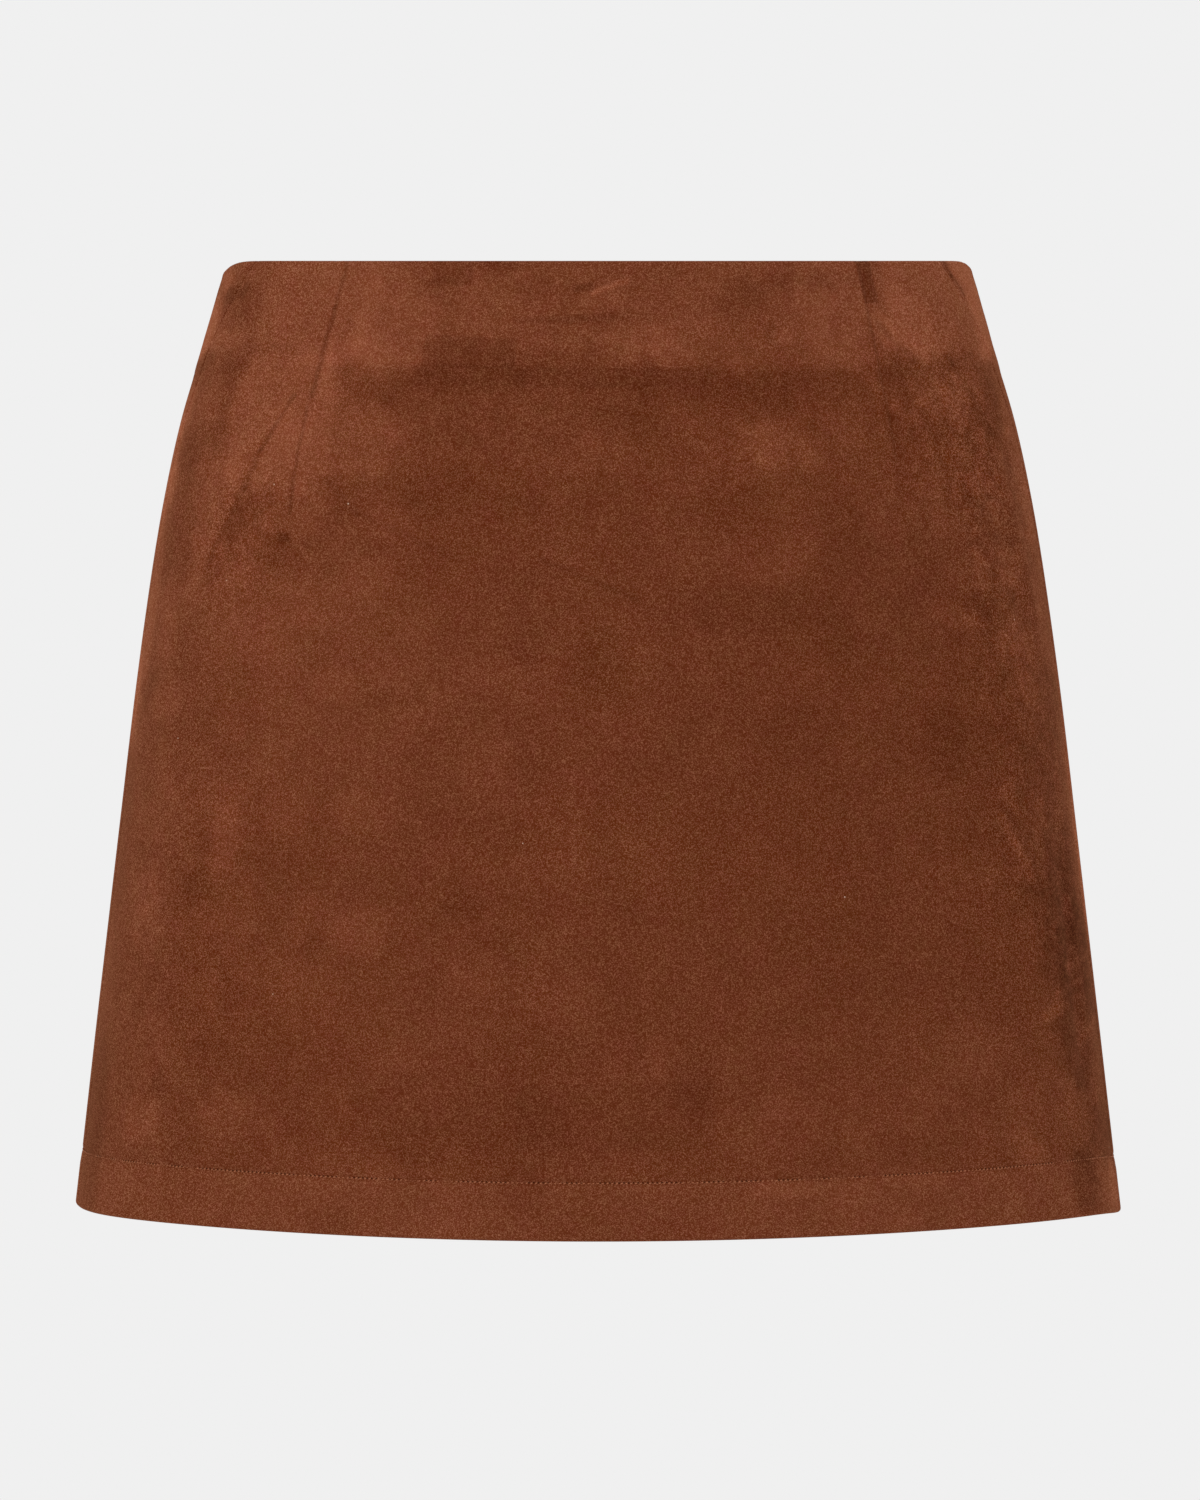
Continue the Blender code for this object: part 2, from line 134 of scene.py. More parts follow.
Fold = namedtuple("Fold", "deg depth to_deg to_depth width height")
FOLDS = table(
    Fold,  # width and height in millimetres; a trough has a negative height
    # left hip: the drag line from the dart to the side, with the swell above it
    (-46, 50, -60.5, 112, 2.6, -0.9), (-50, 48, -64, 108, 6, 0.8), (-40, 84, -46.5, 106, 5, -0.5),
    (-43, 60, -47, 92, 5, 0.4),
    # the small pinch at the top of the centre front
    (-4, 13.2, 5.2, 6.8, 1.5, -0.5), (-3.4, 16.2, 5.6, 9.6, 1.5, 0.5), (-2, 20.6, 2.8, 16.8, 1.4, -0.25),
    # drag lines below the facing
    (-14, 61, -4, 63, 2.6, 0.35), (-7, 68.5, 3, 70.5, 2.4, 0.3), (-38.5, 78, -15, 109, 7, -0.8),
    (-30, 74, -13, 96, 8, 0.5), (-8, 107, 6, 123.5, 3, -0.35), (-18, 88, -2, 92, 4, -0.3),
    (12, 88, 30, 84, 6, -0.4),
    # right hip
    (47, 40, 60, 47, 4, -0.5), (49, 60, 58, 90, 6, -0.5), (62, 66, 70, 150, 5, -0.6),
    (68, 60, 76, 160, 5, 0.7),
    # long soft folds down the skirt
    (-58, 150, -55, 352, 22, 1.2), (-34, 190, -30, 352, 24, -0.9), (-8, 170, -4, 352, 26, 0.9),
    (14, 240, 13, 352, 10, -0.5), (33, 160, 36, 352, 24, -1), (58, 130, 61, 352, 18, 1.3),
    (72, 190, 73, 330, 6, -0.9),
    # the sides
    (88, 20, 96, 70, 5, -0.6), (-90, 24, -97, 84, 5, -0.7), (101, 120, 105, 350, 20, 1.3),
    (-104, 150, -101, 350, 22, 1.1), (118, 180, 116, 350, 20, -1.2), (-120, 140, -122, 350, 18, -1.3),
    # the back: drag lines off the dart points and under the zip
    (122, 70, 137, 118, 4, -0.8), (118, 66, 132, 112, 7, 0.7), (-124, 88, -138, 126, 3.5, -0.7),
    (-119, 92, -133, 134, 6.5, 0.7), (141, 124, 160, 136, 6, -0.5), (-144, 118, -166, 127, 6, -0.5),
    (150, 186, 176, 180, 5, 0.6), (-154, 193, -176, 181, 5, 0.5), (146, 200, 148, 352, 24, 1.2),
    (-143, 180, -146, 352, 22, 1.1), (165, 230, 164, 352, 14, -0.9), (-163, 210, -166, 352, 16, -1),
)
FOLD_TAPER = 0.35  # the share of a fold's length over which it rises at either end
DEEPEST_OVER_FACING = -0.35  # a trough this deep still clears the facing behind it
FACING_STEP = 0.3  # the cloth stands this far out over the facing
DART_GROOVE = 0.4
STITCH_GROOVE = 0.3
GROOVE_HALF_WIDTH = 0.9
HEM_STEP = 0.25  # the doubled hem stands this far out below its stitching
SEAM_ROLL = 0.45
SEAM_ROLL_REACH = 1.6

# ---- nap, and painted light and shade

# Brushed areas, which also paint light and shade: a rim light along the edges, shade in wrinkles and
# creases and under the facing's edge. Tone 1 makes the cloth about 15 % lighter and -1 about 12 % darker
# in the picture.
# soft is the width of the edge as a share of the size. Corner 2 makes an ellipse and 8 nearly a rectangle.
Patch = namedtuple(
    "Patch", "deg depth half_width half_height tone soft corner turn_deg", defaults=(0.8, 2, 0)
)
NAP_AND_PAINTED_LIGHT = table(
    Patch,
    # left hip: painted light and shade of its wrinkles, over brushed areas
    (-47, 16, 26, 21, 0.6, 0.3, 6), (-31, 26, 17, 13, 0.5, 0.4, 4), (-36, 40, 14, 14, 0.55, 0.6, 3),
    (-69, 16, 10, 9, -0.3), (-54, 35.5, 17, 4, -0.65, 0.8, 3), (-43.5, 49, 8, 9, -0.4, 0.8, 3),
    (-39, 43, 4, 4, -0.5), (-33, 9, 11, 8, 0.5), (-50, 60, 25, 25, 1.35, 0.35, 5),
    (-61, 95, 9, 27, 1.1, 0.8, 3, 8), (-51, 99, 7, 7, 0.45, 0.9), (-34, 67, 14, 12, 0.8, 0.5, 4),
    (-27.5, 63, 5, 7, 0.4), (-46, 62, 9, 9, 0.4), (-43, 90, 16, 8, 0.45, 0.8, 3), (-55, 112, 12, 9, 0.5),
    (-44.2, 102, 3.2, 3.2, -1.2), (-45, 112, 3, 6, -0.4), (-48, 131, 34, 16, 0.5, 0.8, 3),
    (-35, 150, 60, 32, 0.25, 1), (-22.5, 134, 7, 8, 0.35), (-34, 155, 9, 6, 0.4),
    (-47.5, 95.5, 5, 5, 0.6, 0.9), (-60.5, 71, 3.5, 9, -0.5, 0.9), (-47.8, 82, 3, 4, -0.5, 0.9),
    (-38.7, 26, 3, 4, -0.5, 0.9),
    # painted rim light along the left edge, and the cloth beside it
    (-84, 23, 13, 11, 1.9, 0.8, 3), (-70, 29, 12, 3.5, 0.6, 0.8, 3), (-84.5, 70, 9, 13, 1.6, 0.7, 3),
    (-70, 140, 9, 9, 0.5, 0.9), (-68, 162, 12, 8, 0.7, 0.9), (-85, 160, 8, 18, 0.9),
    (-80, 5, 12, 4, 1, 0.8, 2, 20), (-71, 12, 11, 2.8, -1, 0.8, 2, -5), (-80, 37, 14, 3, -1, 0.6, 3, -4),
    (-66, 38, 8, 3, -0.4), (-83, 54, 11, 9, 1.5, 0.8, 3), (-70, 53, 12, 7, 0.45, 0.8, 3),
    (-83, 84, 11, 9, 1.7, 0.9), (-84, 97, 8, 8, 1), (-66, 82, 7, 9, 0.45), (-73, 72, 8, 8, -0.5),
    (-73, 104, 9, 9, -0.3), (-70, 127, 13, 9, 0.6), (-60, 116, 6, 6, -0.4, 0.9),
    (-82, 142, 12, 36, 1.1, 0.7, 3), (-76, 157, 9, 6, -0.5), (-81, 212, 10, 30, -0.4, 0.8, 3),
    (-79, 325, 14, 38, -0.95, 0.8, 3),
    # the middle of the front, over the facing, with painted shade and light about the pinch at the top
    (-15, 1.5, 12, 2, -0.5), (-3, 22, 4, 2, -0.5), (2.5, 19, 5, 2, -0.3), (22, 15, 9, 9, -0.55, 0.9),
    (10, 4, 9, 4, -0.3, 0.9), (21, 39, 8, 4, 0.35, 0.9), (32, 8, 12, 4, -0.4, 0.9), (28, 28, 4, 4, 0.5),
    (1, 14, 8, 4, 0.4, 0.8, 2, -10), (2, 23, 8, 3, -0.4), (-12, 4, 5, 3, 0.5), (25.8, 28, 2, 5, -0.5),
    (6, 28, 16, 5, 0.45, 0.7, 3, 3), (10, 34, 12, 3.6, 0.4, 0.7, 3, 2), (37, 18, 14, 19, 0.6, 0.5, 4),
    (39.5, 44, 6, 5, 0.4, 0.9), (-6, 35.5, 14, 3.5, -0.4, 0.7, 3, 2),
    (-18, 34, 17, 4.5, -0.35, 0.5, 4, 3), (-26.5, 33, 6, 3, -0.45, 0.9), (42.5, 28, 4, 5, -0.4, 0.9),
    # top right corner with a painted rim light at the edge, and along the waist
    (64, 17, 32, 19.5, 0.65, 0.25, 6), (38, 7, 12, 3, -0.4, 0.7, 3), (-16, 3, 11, 4.5, -0.4, 0.9),
    (-23, 10, 7, 5, -0.3, 0.9), (71.6, 4, 4, 3.5, 0.7), (69, 11, 8, 9, 0.35, 0.9),
    (52, 24, 13, 12, 0.5, 0.5, 3, 8), (79, 4, 13, 6, 1.2, 0.7, 3, 10), (80, 20, 11, 13, 1.3, 0.6, 3),
    (77, 34, 8, 4, 1.1, 0.8, 2, -8), (65, 33, 6, 3, -0.4),
    # painted shade: the dark band under the facing's lower edge
    (-18, 43, 24, 6, -0.4, 0.5, 4), (-1, 42, 28, 5, -0.25, 0.5, 4, 1), (14, 46, 32, 6, -0.35, 0.5, 4, 3),
    (22, 52, 16, 6, -0.3, 0.6, 3), (33, 46, 20, 5.5, -0.25, 0.5, 4), (-33, 47, 12, 4.5, -0.5, 0.5, 3, 3),
    (48.5, 44, 9, 8, -0.6, 0.5, 3), (59.5, 41, 5, 5, -0.9),
    # from that band down to the hips, with painted light and shade about the creases there
    (22.5, 66, 9, 7, 0.5, 0.5, 3), (44, 62, 2.6, 14, -0.4, 0.5, 4), (50, 81, 8, 6, 0.45, 0.9),
    (59, 50, 9, 10, 0.8, 0.6, 3, 20), (48, 54, 6, 5, 0.4), (46.5, 26, 4, 7, 0.9, 0.7, 2, -25),
    (53, 35, 6, 3, 0.7, 0.7, 2, -15), (51, 47.5, 5, 8, 0.75, 0.8, 2, -15), (66.5, 45, 4, 8, 0.5),
    (75, 63, 9, 3, 0.8), (36, 62, 8, 8, 0.3, 0.9), (41, 92, 12, 10, 0.35, 0.9), (65.5, 57, 4.5, 6, -0.25),
    (61.5, 66, 4, 6, -0.7), (72, 55, 6, 14, -0.65, 0.6, 3, 18), (57, 86, 5, 5, -0.6, 0.8, 2, 20),
    (63.6, 81, 4.5, 3.5, 1), (63.4, 88, 2.5, 4, 0.5), (54.8, 57, 7, 3.5, 0.5), (57, 75, 3.5, 7, 0.4),
    (50.5, 96, 4, 7, 0.4), (68.5, 78, 5, 11, 0.35), (60, 46, 5, 6, 0.35, 0.9), (60, 80, 5, 5, 0.35, 0.9),
    (66, 94, 6, 6, 0.6, 0.8, 2, -20), (67, 113, 10, 8, 0.9), (58.5, 115, 5, 8, 0.8),
    (21, 114, 8, 6, 0.3, 0.9), (40, 115, 8, 6, 0.3, 0.9), (30, 70, 6, 7, 0.35, 0.9), (79, 82, 9, 24, 0.7),
    (-21, 84, 14, 10, -0.4), (17, 91, 16, 10, -0.4), (4, 56, 14, 7, -0.35, 0.9),
    (-10, 89, 12, 5, -0.35, 0.9), (33, 96, 9, 10, -0.3), (26, 106, 9, 8, 0.4), (-7, 114, 8, 5, -0.25),
    (-30, 116, 10, 8, 0.4, 0.9), (0, 71, 11, 6, 0.38, 0.9), (59, 127, 4, 5, -0.6), (66, 128, 4, 3, -0.5),
    (53, 116, 6, 5, 0.4), (45, 49, 4, 6, 0.5, 0.9), (67.5, 67, 4, 6, -0.5, 0.9),
    (55.5, 88, 4, 4, 0.5, 0.9),
    # the skirt's middle and left, from the hips down
    (-60, 190, 18, 14, 0.3, 0.8, 3), (-44, 184, 8, 8, 0.35), (-50, 212, 7, 15, 0.75, 0.7, 3),
    (-40, 200, 10, 12, 0.45, 0.9, 2, 20), (-68, 232, 14, 10, 0.5, 0.9), (-68, 208, 14, 10, 0.3, 0.9),
    (-46, 312, 12, 9, 0.5, 0.9), (-34, 313, 12, 12, -0.45, 0.9), (-12, 207, 12, 9, -0.4, 0.9),
    (-12, 250, 12, 9, -0.35, 0.9), (-8, 140, 9, 8, -0.35, 0.9), (-38, 141, 12, 8, -0.35, 0.9),
    (-20, 289, 8, 10, -0.3, 0.9), (11, 297, 9, 16, -0.35, 0.9), (33, 308, 10, 9, -0.25, 0.9),
    (26, 245, 14, 14, -0.25, 1), (-66, 247, 12, 9, 0.5), (-47, 240, 8, 14, 0.3, 0.8, 2, 10),
    (-28, 243, 10, 10, 0.5, 0.7), (-36.5, 240, 4, 10, 0.35, 0.7, 2, 8),
    (-13, 186, 9, 18, 0.35, 0.9, 2, -5), (-29.5, 200, 12, 8, 0.4, 0.9, 2, 20),
    (-25, 158, 11, 5, -0.35, 0.9, 2, -8), (-34.5, 251, 6, 5, -0.45, 0.9), (-52, 242, 6, 7, 0.45, 0.9),
    (-14, 257, 10, 8, 0.3), (-61, 288, 16, 12, 0.3), (-62, 317, 12, 9, 0.6, 0.7),
    (-31, 308, 8, 8, 0.25, 0.9), (-20, 287, 10, 6, 0.3), (6.5, 288, 3.5, 9, 0.35), (-16, 233, 8, 7, -0.5),
    (-47, 268, 6, 8, -0.5), (-55, 233, 9, 8, -0.4), (-6, 286, 22, 10, -0.3, 0.9),
    (-58.5, 303, 3.5, 5, -0.6), (-44, 290, 30, 14, -0.25, 0.9), (-16, 312, 44, 14, -0.3, 0.8, 3),
    (-20, 325, 10, 4, -0.35),
    # its middle and right, brushed darker, with painted shade and a painted rim light at the right edge
    (42, 195, 85, 75, -0.22, 0.8, 3), (20, 126, 28, 9, -0.4, 0.8, 3), (31, 134, 9, 12, -0.35),
    (0, 145, 10, 14, -0.4, 0.9), (26, 172, 16, 12, -0.25, 0.9), (47, 176, 12, 12, -0.35, 0.9),
    (70, 186, 22, 14, -0.45, 0.8, 3), (76, 166, 14, 14, -0.4, 0.9), (73, 240, 24, 30, -0.9, 0.6, 3),
    (76, 262, 24, 20, -0.5), (73, 225, 13, 18, -0.5, 0.8, 3), (60, 222, 11, 17, -0.5, 0.9),
    (72, 282, 13, 32, -0.75), (90, 206, 17, 50, 1.25, 1.2), (87, 236, 9, 18, 0.6, 1),
    (80, 300, 16, 24, -0.5, 0.8, 3), (71.5, 304, 6, 5, -0.6, 0.7), (79, 324, 15, 11, -1.1, 0.7, 2, -6),
    (69, 339, 11, 13, -1.2, 0.7), (70, 288, 14, 16, -0.7), (74, 270, 7, 20, 0.9), (81, 275, 8, 22, -0.5),
    (71.5, 201, 7, 7, -0.5), (69.5, 242, 7, 6, -0.6), (80, 163, 6, 13, -0.5), (85, 225, 5, 30, 0.7),
    (85.5, 306, 9, 34, -0.6), (80, 260, 14, 22, -0.7), (47, 288, 14, 10, 0.35, 0.9),
    (56, 312, 12, 10, 0.25, 0.9), (30, 311, 50, 10, 0.18, 0.8, 3), (55, 324, 9, 5, 0.6, 0.7, 2, 20),
    (66, 142, 12, 7, 0.6), (68, 157, 7, 6, 0.6), (51, 130.5, 11, 5, 0.7, 0.8, 2, 15),
    (62, 143, 4, 8, 0.5, 0.9), (59, 218, 4, 7, 0.4, 0.9), (64, 281, 4, 5, -0.5, 0.9),
    # finer marks on the left hip and edge, painted shade of its wrinkles among them
    (-77, 15, 7, 5, -0.6), (-61.5, 57, 3.5, 6, 0.5), (-58.6, 72, 4, 14, -0.6), (-65, 76, 7, 6, 0.4),
    (-45.2, 82, 3, 4, -0.5), (-55.5, 87, 3.5, 3.5, 0.6), (-49.5, 96.5, 3.5, 4, -0.6),
    (-42.5, 96, 7, 6, 0.35), (-36, 93, 4.5, 3, -0.4), (-27, 97, 10, 5, 0.35), (-59.2, 112, 4.5, 7, -0.6),
    (-64.5, 111, 6, 5, -0.35), (-78.5, 165, 6, 9, -0.8),
    # the hem
    (21, 336, 14, 3.5, 0.45, 0.6, 3), (0, 343, 60, 10, -0.25, 0.8, 4), (38, 333, 14, 5, 0.35, 0.9),
    (56, 330, 10, 4, 0.4, 0.9), (35, 350, 8, 4, 0.4, 0.9), (-24, 328, 9, 5, 0.4, 0.9),
    (82, 344, 9, 9, 0.9), (-30, 349, 12, 6, -0.33, 0.9),
    # the sides and the back
    (104, 60, 40, 40, 0.6, 0.6, 2.5, -10), (112, 170, 44, 90, -0.5, 0.8, 2.5, 4),
    (99, 110, 14, 26, 0.6, 0.8, 2, 8), (120, 244, 20, 14, 0.5, 0.9, 2, -12),
    (-106, 130, 50, 70, 0.45, 0.8, 2.5, 8), (-118, 260, 40, 70, -0.45, 0.8, 2.5),
    (-112, 60, 18, 22, 0.6, 0.7, 2, 16), (-98, 215, 16, 12, 0.5, 0.9),
    (150, 24, 46, 10, 0.45, 0.8, 3, -3), (-152, 22, 40, 11, 0.5, 0.8, 3, 3),
    (148, 45, 60, 6, -0.6, 0.6, 5, 1), (-148, 45, 56, 6, -0.55, 0.6, 5, -1),
    (140, 130, 36, 34, -0.4, 0.9, 2, 15), (-136, 98, 26, 34, 0.7, 0.4, 3, -14),
    (-158, 200, 44, 80, -0.35, 1), (160, 250, 40, 60, 0.35, 1), (133, 290, 30, 30, -0.4, 0.4, 4),
    (166, 166, 14, 20, 0.4, 0.9, 2, 8), (-166, 118, 16, 14, 0.4, 0.9, 2, -8),
    (-140, 300, 34, 16, 0.35, 0.7, 3, 4), (170, 322, 30, 9, -0.35, 0.7, 3),
)
CRUSH = table(
    Patch,  # where the pile is rubbed both ways: tone is how much
    (70, 150, 34, 110, 0.7, 0.6, 3), (74, 290, 26, 70, 0.7), (58, 62, 24, 34, 0.6, 1),
    (46, 190, 56, 130, 0.25, 1), (-50, 100, 34, 22, 0.4, 1), (-56, 240, 50, 90, 0.3, 1),
    (110, 190, 40, 120, 0.7, 0.8, 3), (-112, 200, 40, 110, 0.6, 0.8, 3), (-175, 240, 40, 90, 0.4, 1),
    (150, 110, 40, 50, 0.5, 1), (4, 40, 115, 50, 0.3, 0.8, 3), (-60, 50, 30, 60, 0.25, 0.8, 3),
)

# Marks with a crisp edge, finer than the mesh: lines of a half width, and boxes. Most of them paint shade
# in darts, seams and creases, and some a highlight beside them. Tones are as above.
Stroke = namedtuple("Stroke", "deg depth to_deg to_depth half_width tone")
STROKES = table(
    Stroke,
    # painted shade in the left dart and along the drag line from it to the side, and a painted highlight
    # beside the dart
    (-41.4, -2, -42.3, 18, 0.9, -0.8), (-42.3, 18, -43.6, 50, 1.1, -1.1),
    (-43.9, 54, -44.2, 92, 0.8, -0.9), (-41.4, 30, -42.2, 58, 1.1, 0.35), (-47, 50, -52, 70, 0.9, -1),
    (-52, 70, -54.5, 84, 1.2, -0.9), (-54.5, 84, -60, 112, 1.5, -0.6), (-38.5, 80, -33, 92, 1.4, -0.45),
    (-33, 92, -18, 108, 1.4, -0.35),
    # painted shade and highlight of the pinch at the top of the centre front, and painted shade along a
    # crease below
    (-3.2, 10.8, -1, 9.4, 1.3, -1), (-0.6, 12, 4.2, 7.6, 1.1, 1.1), (-12, 22, 2, 21, 1.3, -0.45),
    (-7.3, 108, 5, 122.5, 1.2, -0.45),
    # painted shade along the right dart and along the edge of the light patch beside it, and a painted
    # highlight by the dart
    (43.6, 16, 44, 37, 0.9, -0.3), (44.3, 38, 43.4, 82, 1.2, -0.2), (42.4, 40, 42, 62, 1.2, 0.4),
    (45.2, 24, 51, 36, 1.8, -0.8), (57, 45, 61, 38.5, 1.2, -0.6), (61, 38.5, 69, 34.5, 1.2, -0.6),
    # painted shade in the right side seam
    (66.4, -2, 69.2, 5, 1.3, -1.4), (69.2, 5, 72.6, 12.5, 1.1, -1.4), (72.6, 12.5, 77, 26, 0.7, -0.4),
    # streaks at the right edge
    (56.3, 206, 62.3, 228, 2.2, 0.8), (62, 279, 69, 274.5, 2.4, 1.1), (70, 262, 84, 256, 1.6, 0.8),
    (66, 271, 84, 263, 1.3, 0.7), (72, 290, 82, 281, 1.6, 0.7),
    # painted shade in the back darts
    (139.6, -2, 139.9, 112, 0.8, -0.5), (-139.6, -2, -139.9, 112, 0.8, -0.45),
)
Box = namedtuple("Box", "deg depth half_width half_height turn_deg edge tone")
# The dark boxes under the facing's edge and at the top of the right dart paint shade.
BOXES = table(
    Box,
    (-22.5, 3.5, 8, 5.5, 0, 2.2, -0.7), (-18.6, 33.4, 17.5, 5.5, 2, 1.3, -0.6),
    (44.7, 6.5, 3.2, 9.5, -2, 1.4, -1.3), (7, 43, 88, 3.6, 0.9, 1.8, -0.3), (25.5, 67, 11, 10, 0, 5, 0.5),
    (2, 309, 36, 12, 0, 2, -0.28), (57, 16, 18, 17.5, 4, 2, 0.35),
)
STROKE_EDGE = 1.6  # the width of a stroke's soft edge, in half widths
TIPS = 0.95  # how strongly the fibre tips show
SIDE_TIPS = 0.6  # how much more the fibre tips show towards the sides
TIPS_PER_TONE = 0.14  # and how much less where the tone is lighter, brushed or painted
RAGGED_EDGE = 1.5  # how far a brushed area's outline wanders, in millimetres
MEAN_RADIUS = 150.0  # of the skirt
HEM_BAND_TONE = 0.45
FACING_TONE = 0.5

# ---- the cloth's form


def smooth(rows, name, depth):
    """A column of a table at any depths, on a smooth curve through its rows."""
    knots = np.array([row.depth for row in rows], float)
    values = np.array([getattr(row, name) for row in rows], float)
    order = np.arange(len(rows))
    ahead, behind = np.minimum(order + 1, order[-1]), np.maximum(order - 1, 0)
    slopes = (values[ahead] - values[behind]) / (knots[ahead] - knots[behind])
    depth = np.clip(depth, knots[0], knots[-1])
    k = np.clip(np.searchsorted(knots, depth, side="right") - 1, 0, len(rows) - 2)
    span = knots[k + 1] - knots[k]
    share = (depth - knots[k]) / span
    steepness = (values[k + 1] - values[k]) / span
    bend = share * (1 - share) * span
    straight = values[k] + (values[k + 1] - values[k]) * share
    lead, trail = slopes[k] - steepness, slopes[k + 1] - steepness
    return straight + bend * (lead * (1 - share) - trail * share)


def between(at, start, end):
    """0 at the start and 1 at the end, easing from one to the other and level past them."""
    share = np.clip((at - start) / (end - start), 0.0, 1.0)
    return share * share * (3 - 2 * share)


def unit(vectors):
    return vectors / np.linalg.norm(vectors, axis=-1, keepdims=True)


def side_pull(angle, wanted, spread_name):
    """A named amount of LEFT or RIGHT, full at the sides and falling to 0 away from them."""
    left = angle < 0
    spread_deg = np.where(left, getattr(LEFT, spread_name), getattr(RIGHT, spread_name))
    away = (np.degrees(np.abs(angle)) - 90.0) / spread_deg
    return np.where(left, getattr(LEFT, wanted), getattr(RIGHT, wanted)) * np.exp(-away * away)


def hung_depth(angle, nominal):
    """The real depth of a place that is nominally that far down its panel."""
    share = nominal / SIDE_LENGTH
    waist = side_pull(angle, "waist_dip", "waist_spread_deg")
    hem = HEM_DROP * np.abs(np.cos(angle)) ** 3 - side_pull(angle, "hem_lift", "hem_spread_deg")
    return nominal + (1 - share) * waist + share * hem


def skirt_surface(angle, nominal):
    """Points of the skirt's plain outer face, and the way in from each."""
    depth = hung_depth(angle, nominal)
    sine, cosine = np.sin(angle), np.cos(angle)
    front = cosine > 0

    def ring(at):
        reach = np.where(front, smooth(SKIRT, "front", at), smooth(SKIRT, "back", at))
        return smooth(SKIRT, "half_width", at), reach

    half_width, reach = ring(depth)
    half_width_below, reach_below = ring(depth + 1)
    point = np.stack([half_width * sine, -reach * cosine, -depth], -1)
    below = np.stack([half_width_below * sine, -reach_below * cosine, -depth - 1], -1)
    around = np.stack([half_width * cosine, reach * sine, np.zeros_like(depth)], -1)
    return point, unit(np.cross(around, below - point))


def per_radian(deg, depth):
    """The millimetres round the skirt to a radian at a place."""
    half_width = smooth(SKIRT, "half_width", depth)
    reach = smooth(SKIRT, "front" if abs(deg) < 90 else "back", depth)
    return math.hypot(half_width * math.cos(math.radians(deg)), reach * math.sin(math.radians(deg)))


def around_mm(angle, deg, depth):
    """How far round the skirt each angle is from a place."""
    away = (angle - math.radians(deg) + math.pi) % (2 * math.pi) - math.pi
    return away * per_radian(deg, depth)


def fold_relief(angle, depth):
    """How far the creases raise the cloth."""
    raised = np.zeros_like(depth)
    for fold in FOLDS:
        middle = (fold.depth + fold.to_depth) / 2
        across = around_mm(angle, fold.deg, middle)
        down = depth - fold.depth
        run = around_mm(math.radians(fold.to_deg), fold.deg, middle)
        drop = fold.to_depth - fold.depth
        length = math.hypot(run, drop)
        along = (across * run + down * drop) / length**2
        aside = (across * drop - down * run) / length / fold.width
        taper = between(along, 0, FOLD_TAPER) * between(along, 1, 1 - FOLD_TAPER)
        raised += fold.height * taper * np.exp(-aside * aside)
    return raised


def wobble(along, aside):
    """A wave about a centimetre long, between -1 and 1, irregular as its lengths share no rhythm."""
    first = np.sin(along / 2.3 + 1.6 * np.sin(aside / 3.7 + 0.8))
    second = np.sin(aside / 1.7 - along / 4.9 + 1.3 * np.sin(along / 6.1))
    return 0.5 * (first + second)


def patched(angle, depth, patches):
    """The sum of soft-edged patches at each place, their outlines a little ragged."""
    arc = angle * MEAN_RADIUS
    shifted = 40  # far enough for the two ways of wandering to differ
    angle = angle + RAGGED_EDGE / MEAN_RADIUS * wobble(arc, depth)
    depth = depth + RAGGED_EDGE * wobble(depth + shifted, arc)
    total = np.zeros_like(depth)
    for patch in patches:
        turn = math.radians(patch.turn_deg)
        across = around_mm(angle, patch.deg, patch.depth)
        down = depth - patch.depth
        u = np.abs(across * math.cos(turn) + down * math.sin(turn)) / patch.half_width
        v = np.abs(down * math.cos(turn) - across * math.sin(turn)) / patch.half_height
        radius = (u**patch.corner + v**patch.corner) ** (1 / patch.corner)
        total += patch.tone * between(radius, 1 + patch.soft / 2, 1 - patch.soft / 2)
    return total


def dart_line(angle, depth):
    """1 on the stitched line of a dart, falling to 0 beside it and at its point."""
    around = np.abs(angle)
    front = around < math.pi / 2
    middle = np.where(front, math.radians(FRONT_DART_DEG), math.pi - math.radians(BACK_DART_DEG))
    length = np.where(front, FRONT_DART_LENGTH, BACK_DART_LENGTH)
    radius = 0.85 * smooth(SKIRT, "half_width", depth)  # about what the skirt has at its darts
    across = np.abs(around - middle) * radius
    return np.exp(-((across / GROOVE_HALF_WIDTH) ** 2)) * between(depth, length, length / 2)


def relief(angle, depth):
    """How far the outer face stands off the plain form, each step easing over a few millimetres."""
    raised = fold_relief(angle, depth)
    over_facing = depth < FACING_DEPTH + 4
    raised = np.where(over_facing, np.maximum(raised, DEEPEST_OVER_FACING), raised)
    raised += FACING_STEP * between(depth, FACING_DEPTH + 3, FACING_DEPTH - 2) * between(depth, 2, 10)
    raised -= DART_GROOVE * dart_line(angle, depth)
    raised -= STITCH_GROOVE * np.exp(-(((depth - STITCH_DEPTH) / GROOVE_HALF_WIDTH) ** 2))
    raised += HEM_STEP * between(depth, STITCH_DEPTH + 1, STITCH_DEPTH + 6)
    return raised


def seam_roll(columns_mm):
    """How far the cloth rolls in towards a seam at either end of its columns."""
    near = np.minimum(columns_mm, columns_mm[:, -1:] - columns_mm)
    return SEAM_ROLL * np.clip(1 - near / SEAM_ROLL_REACH, 0, 1) ** 2


# ---- rows and columns

ROW_STEP = 1.9
FOLD_STEPS = 8
WAIST_TURNING_ROWS = 3
WAIST_TURNING_CLEAR = 0.6  # from the fold's rows to the next
HEM_TURNING_ROWS = 6
HEM_TURNING_CLEAR = 1.0
FACING_ROWS = 14
TAPE_ROWS = 60
STITCH_ROWS = (-1.6, -1.0, -0.5, 0.0, 0.5, 1.0, 1.6)  # rows set close about the stitching
STITCH_CLEAR = 1.8
DART_EDGE = 3.0  # columns are closer within this of a dart
SEAM_EDGE = 2.0  # and within this of a seam

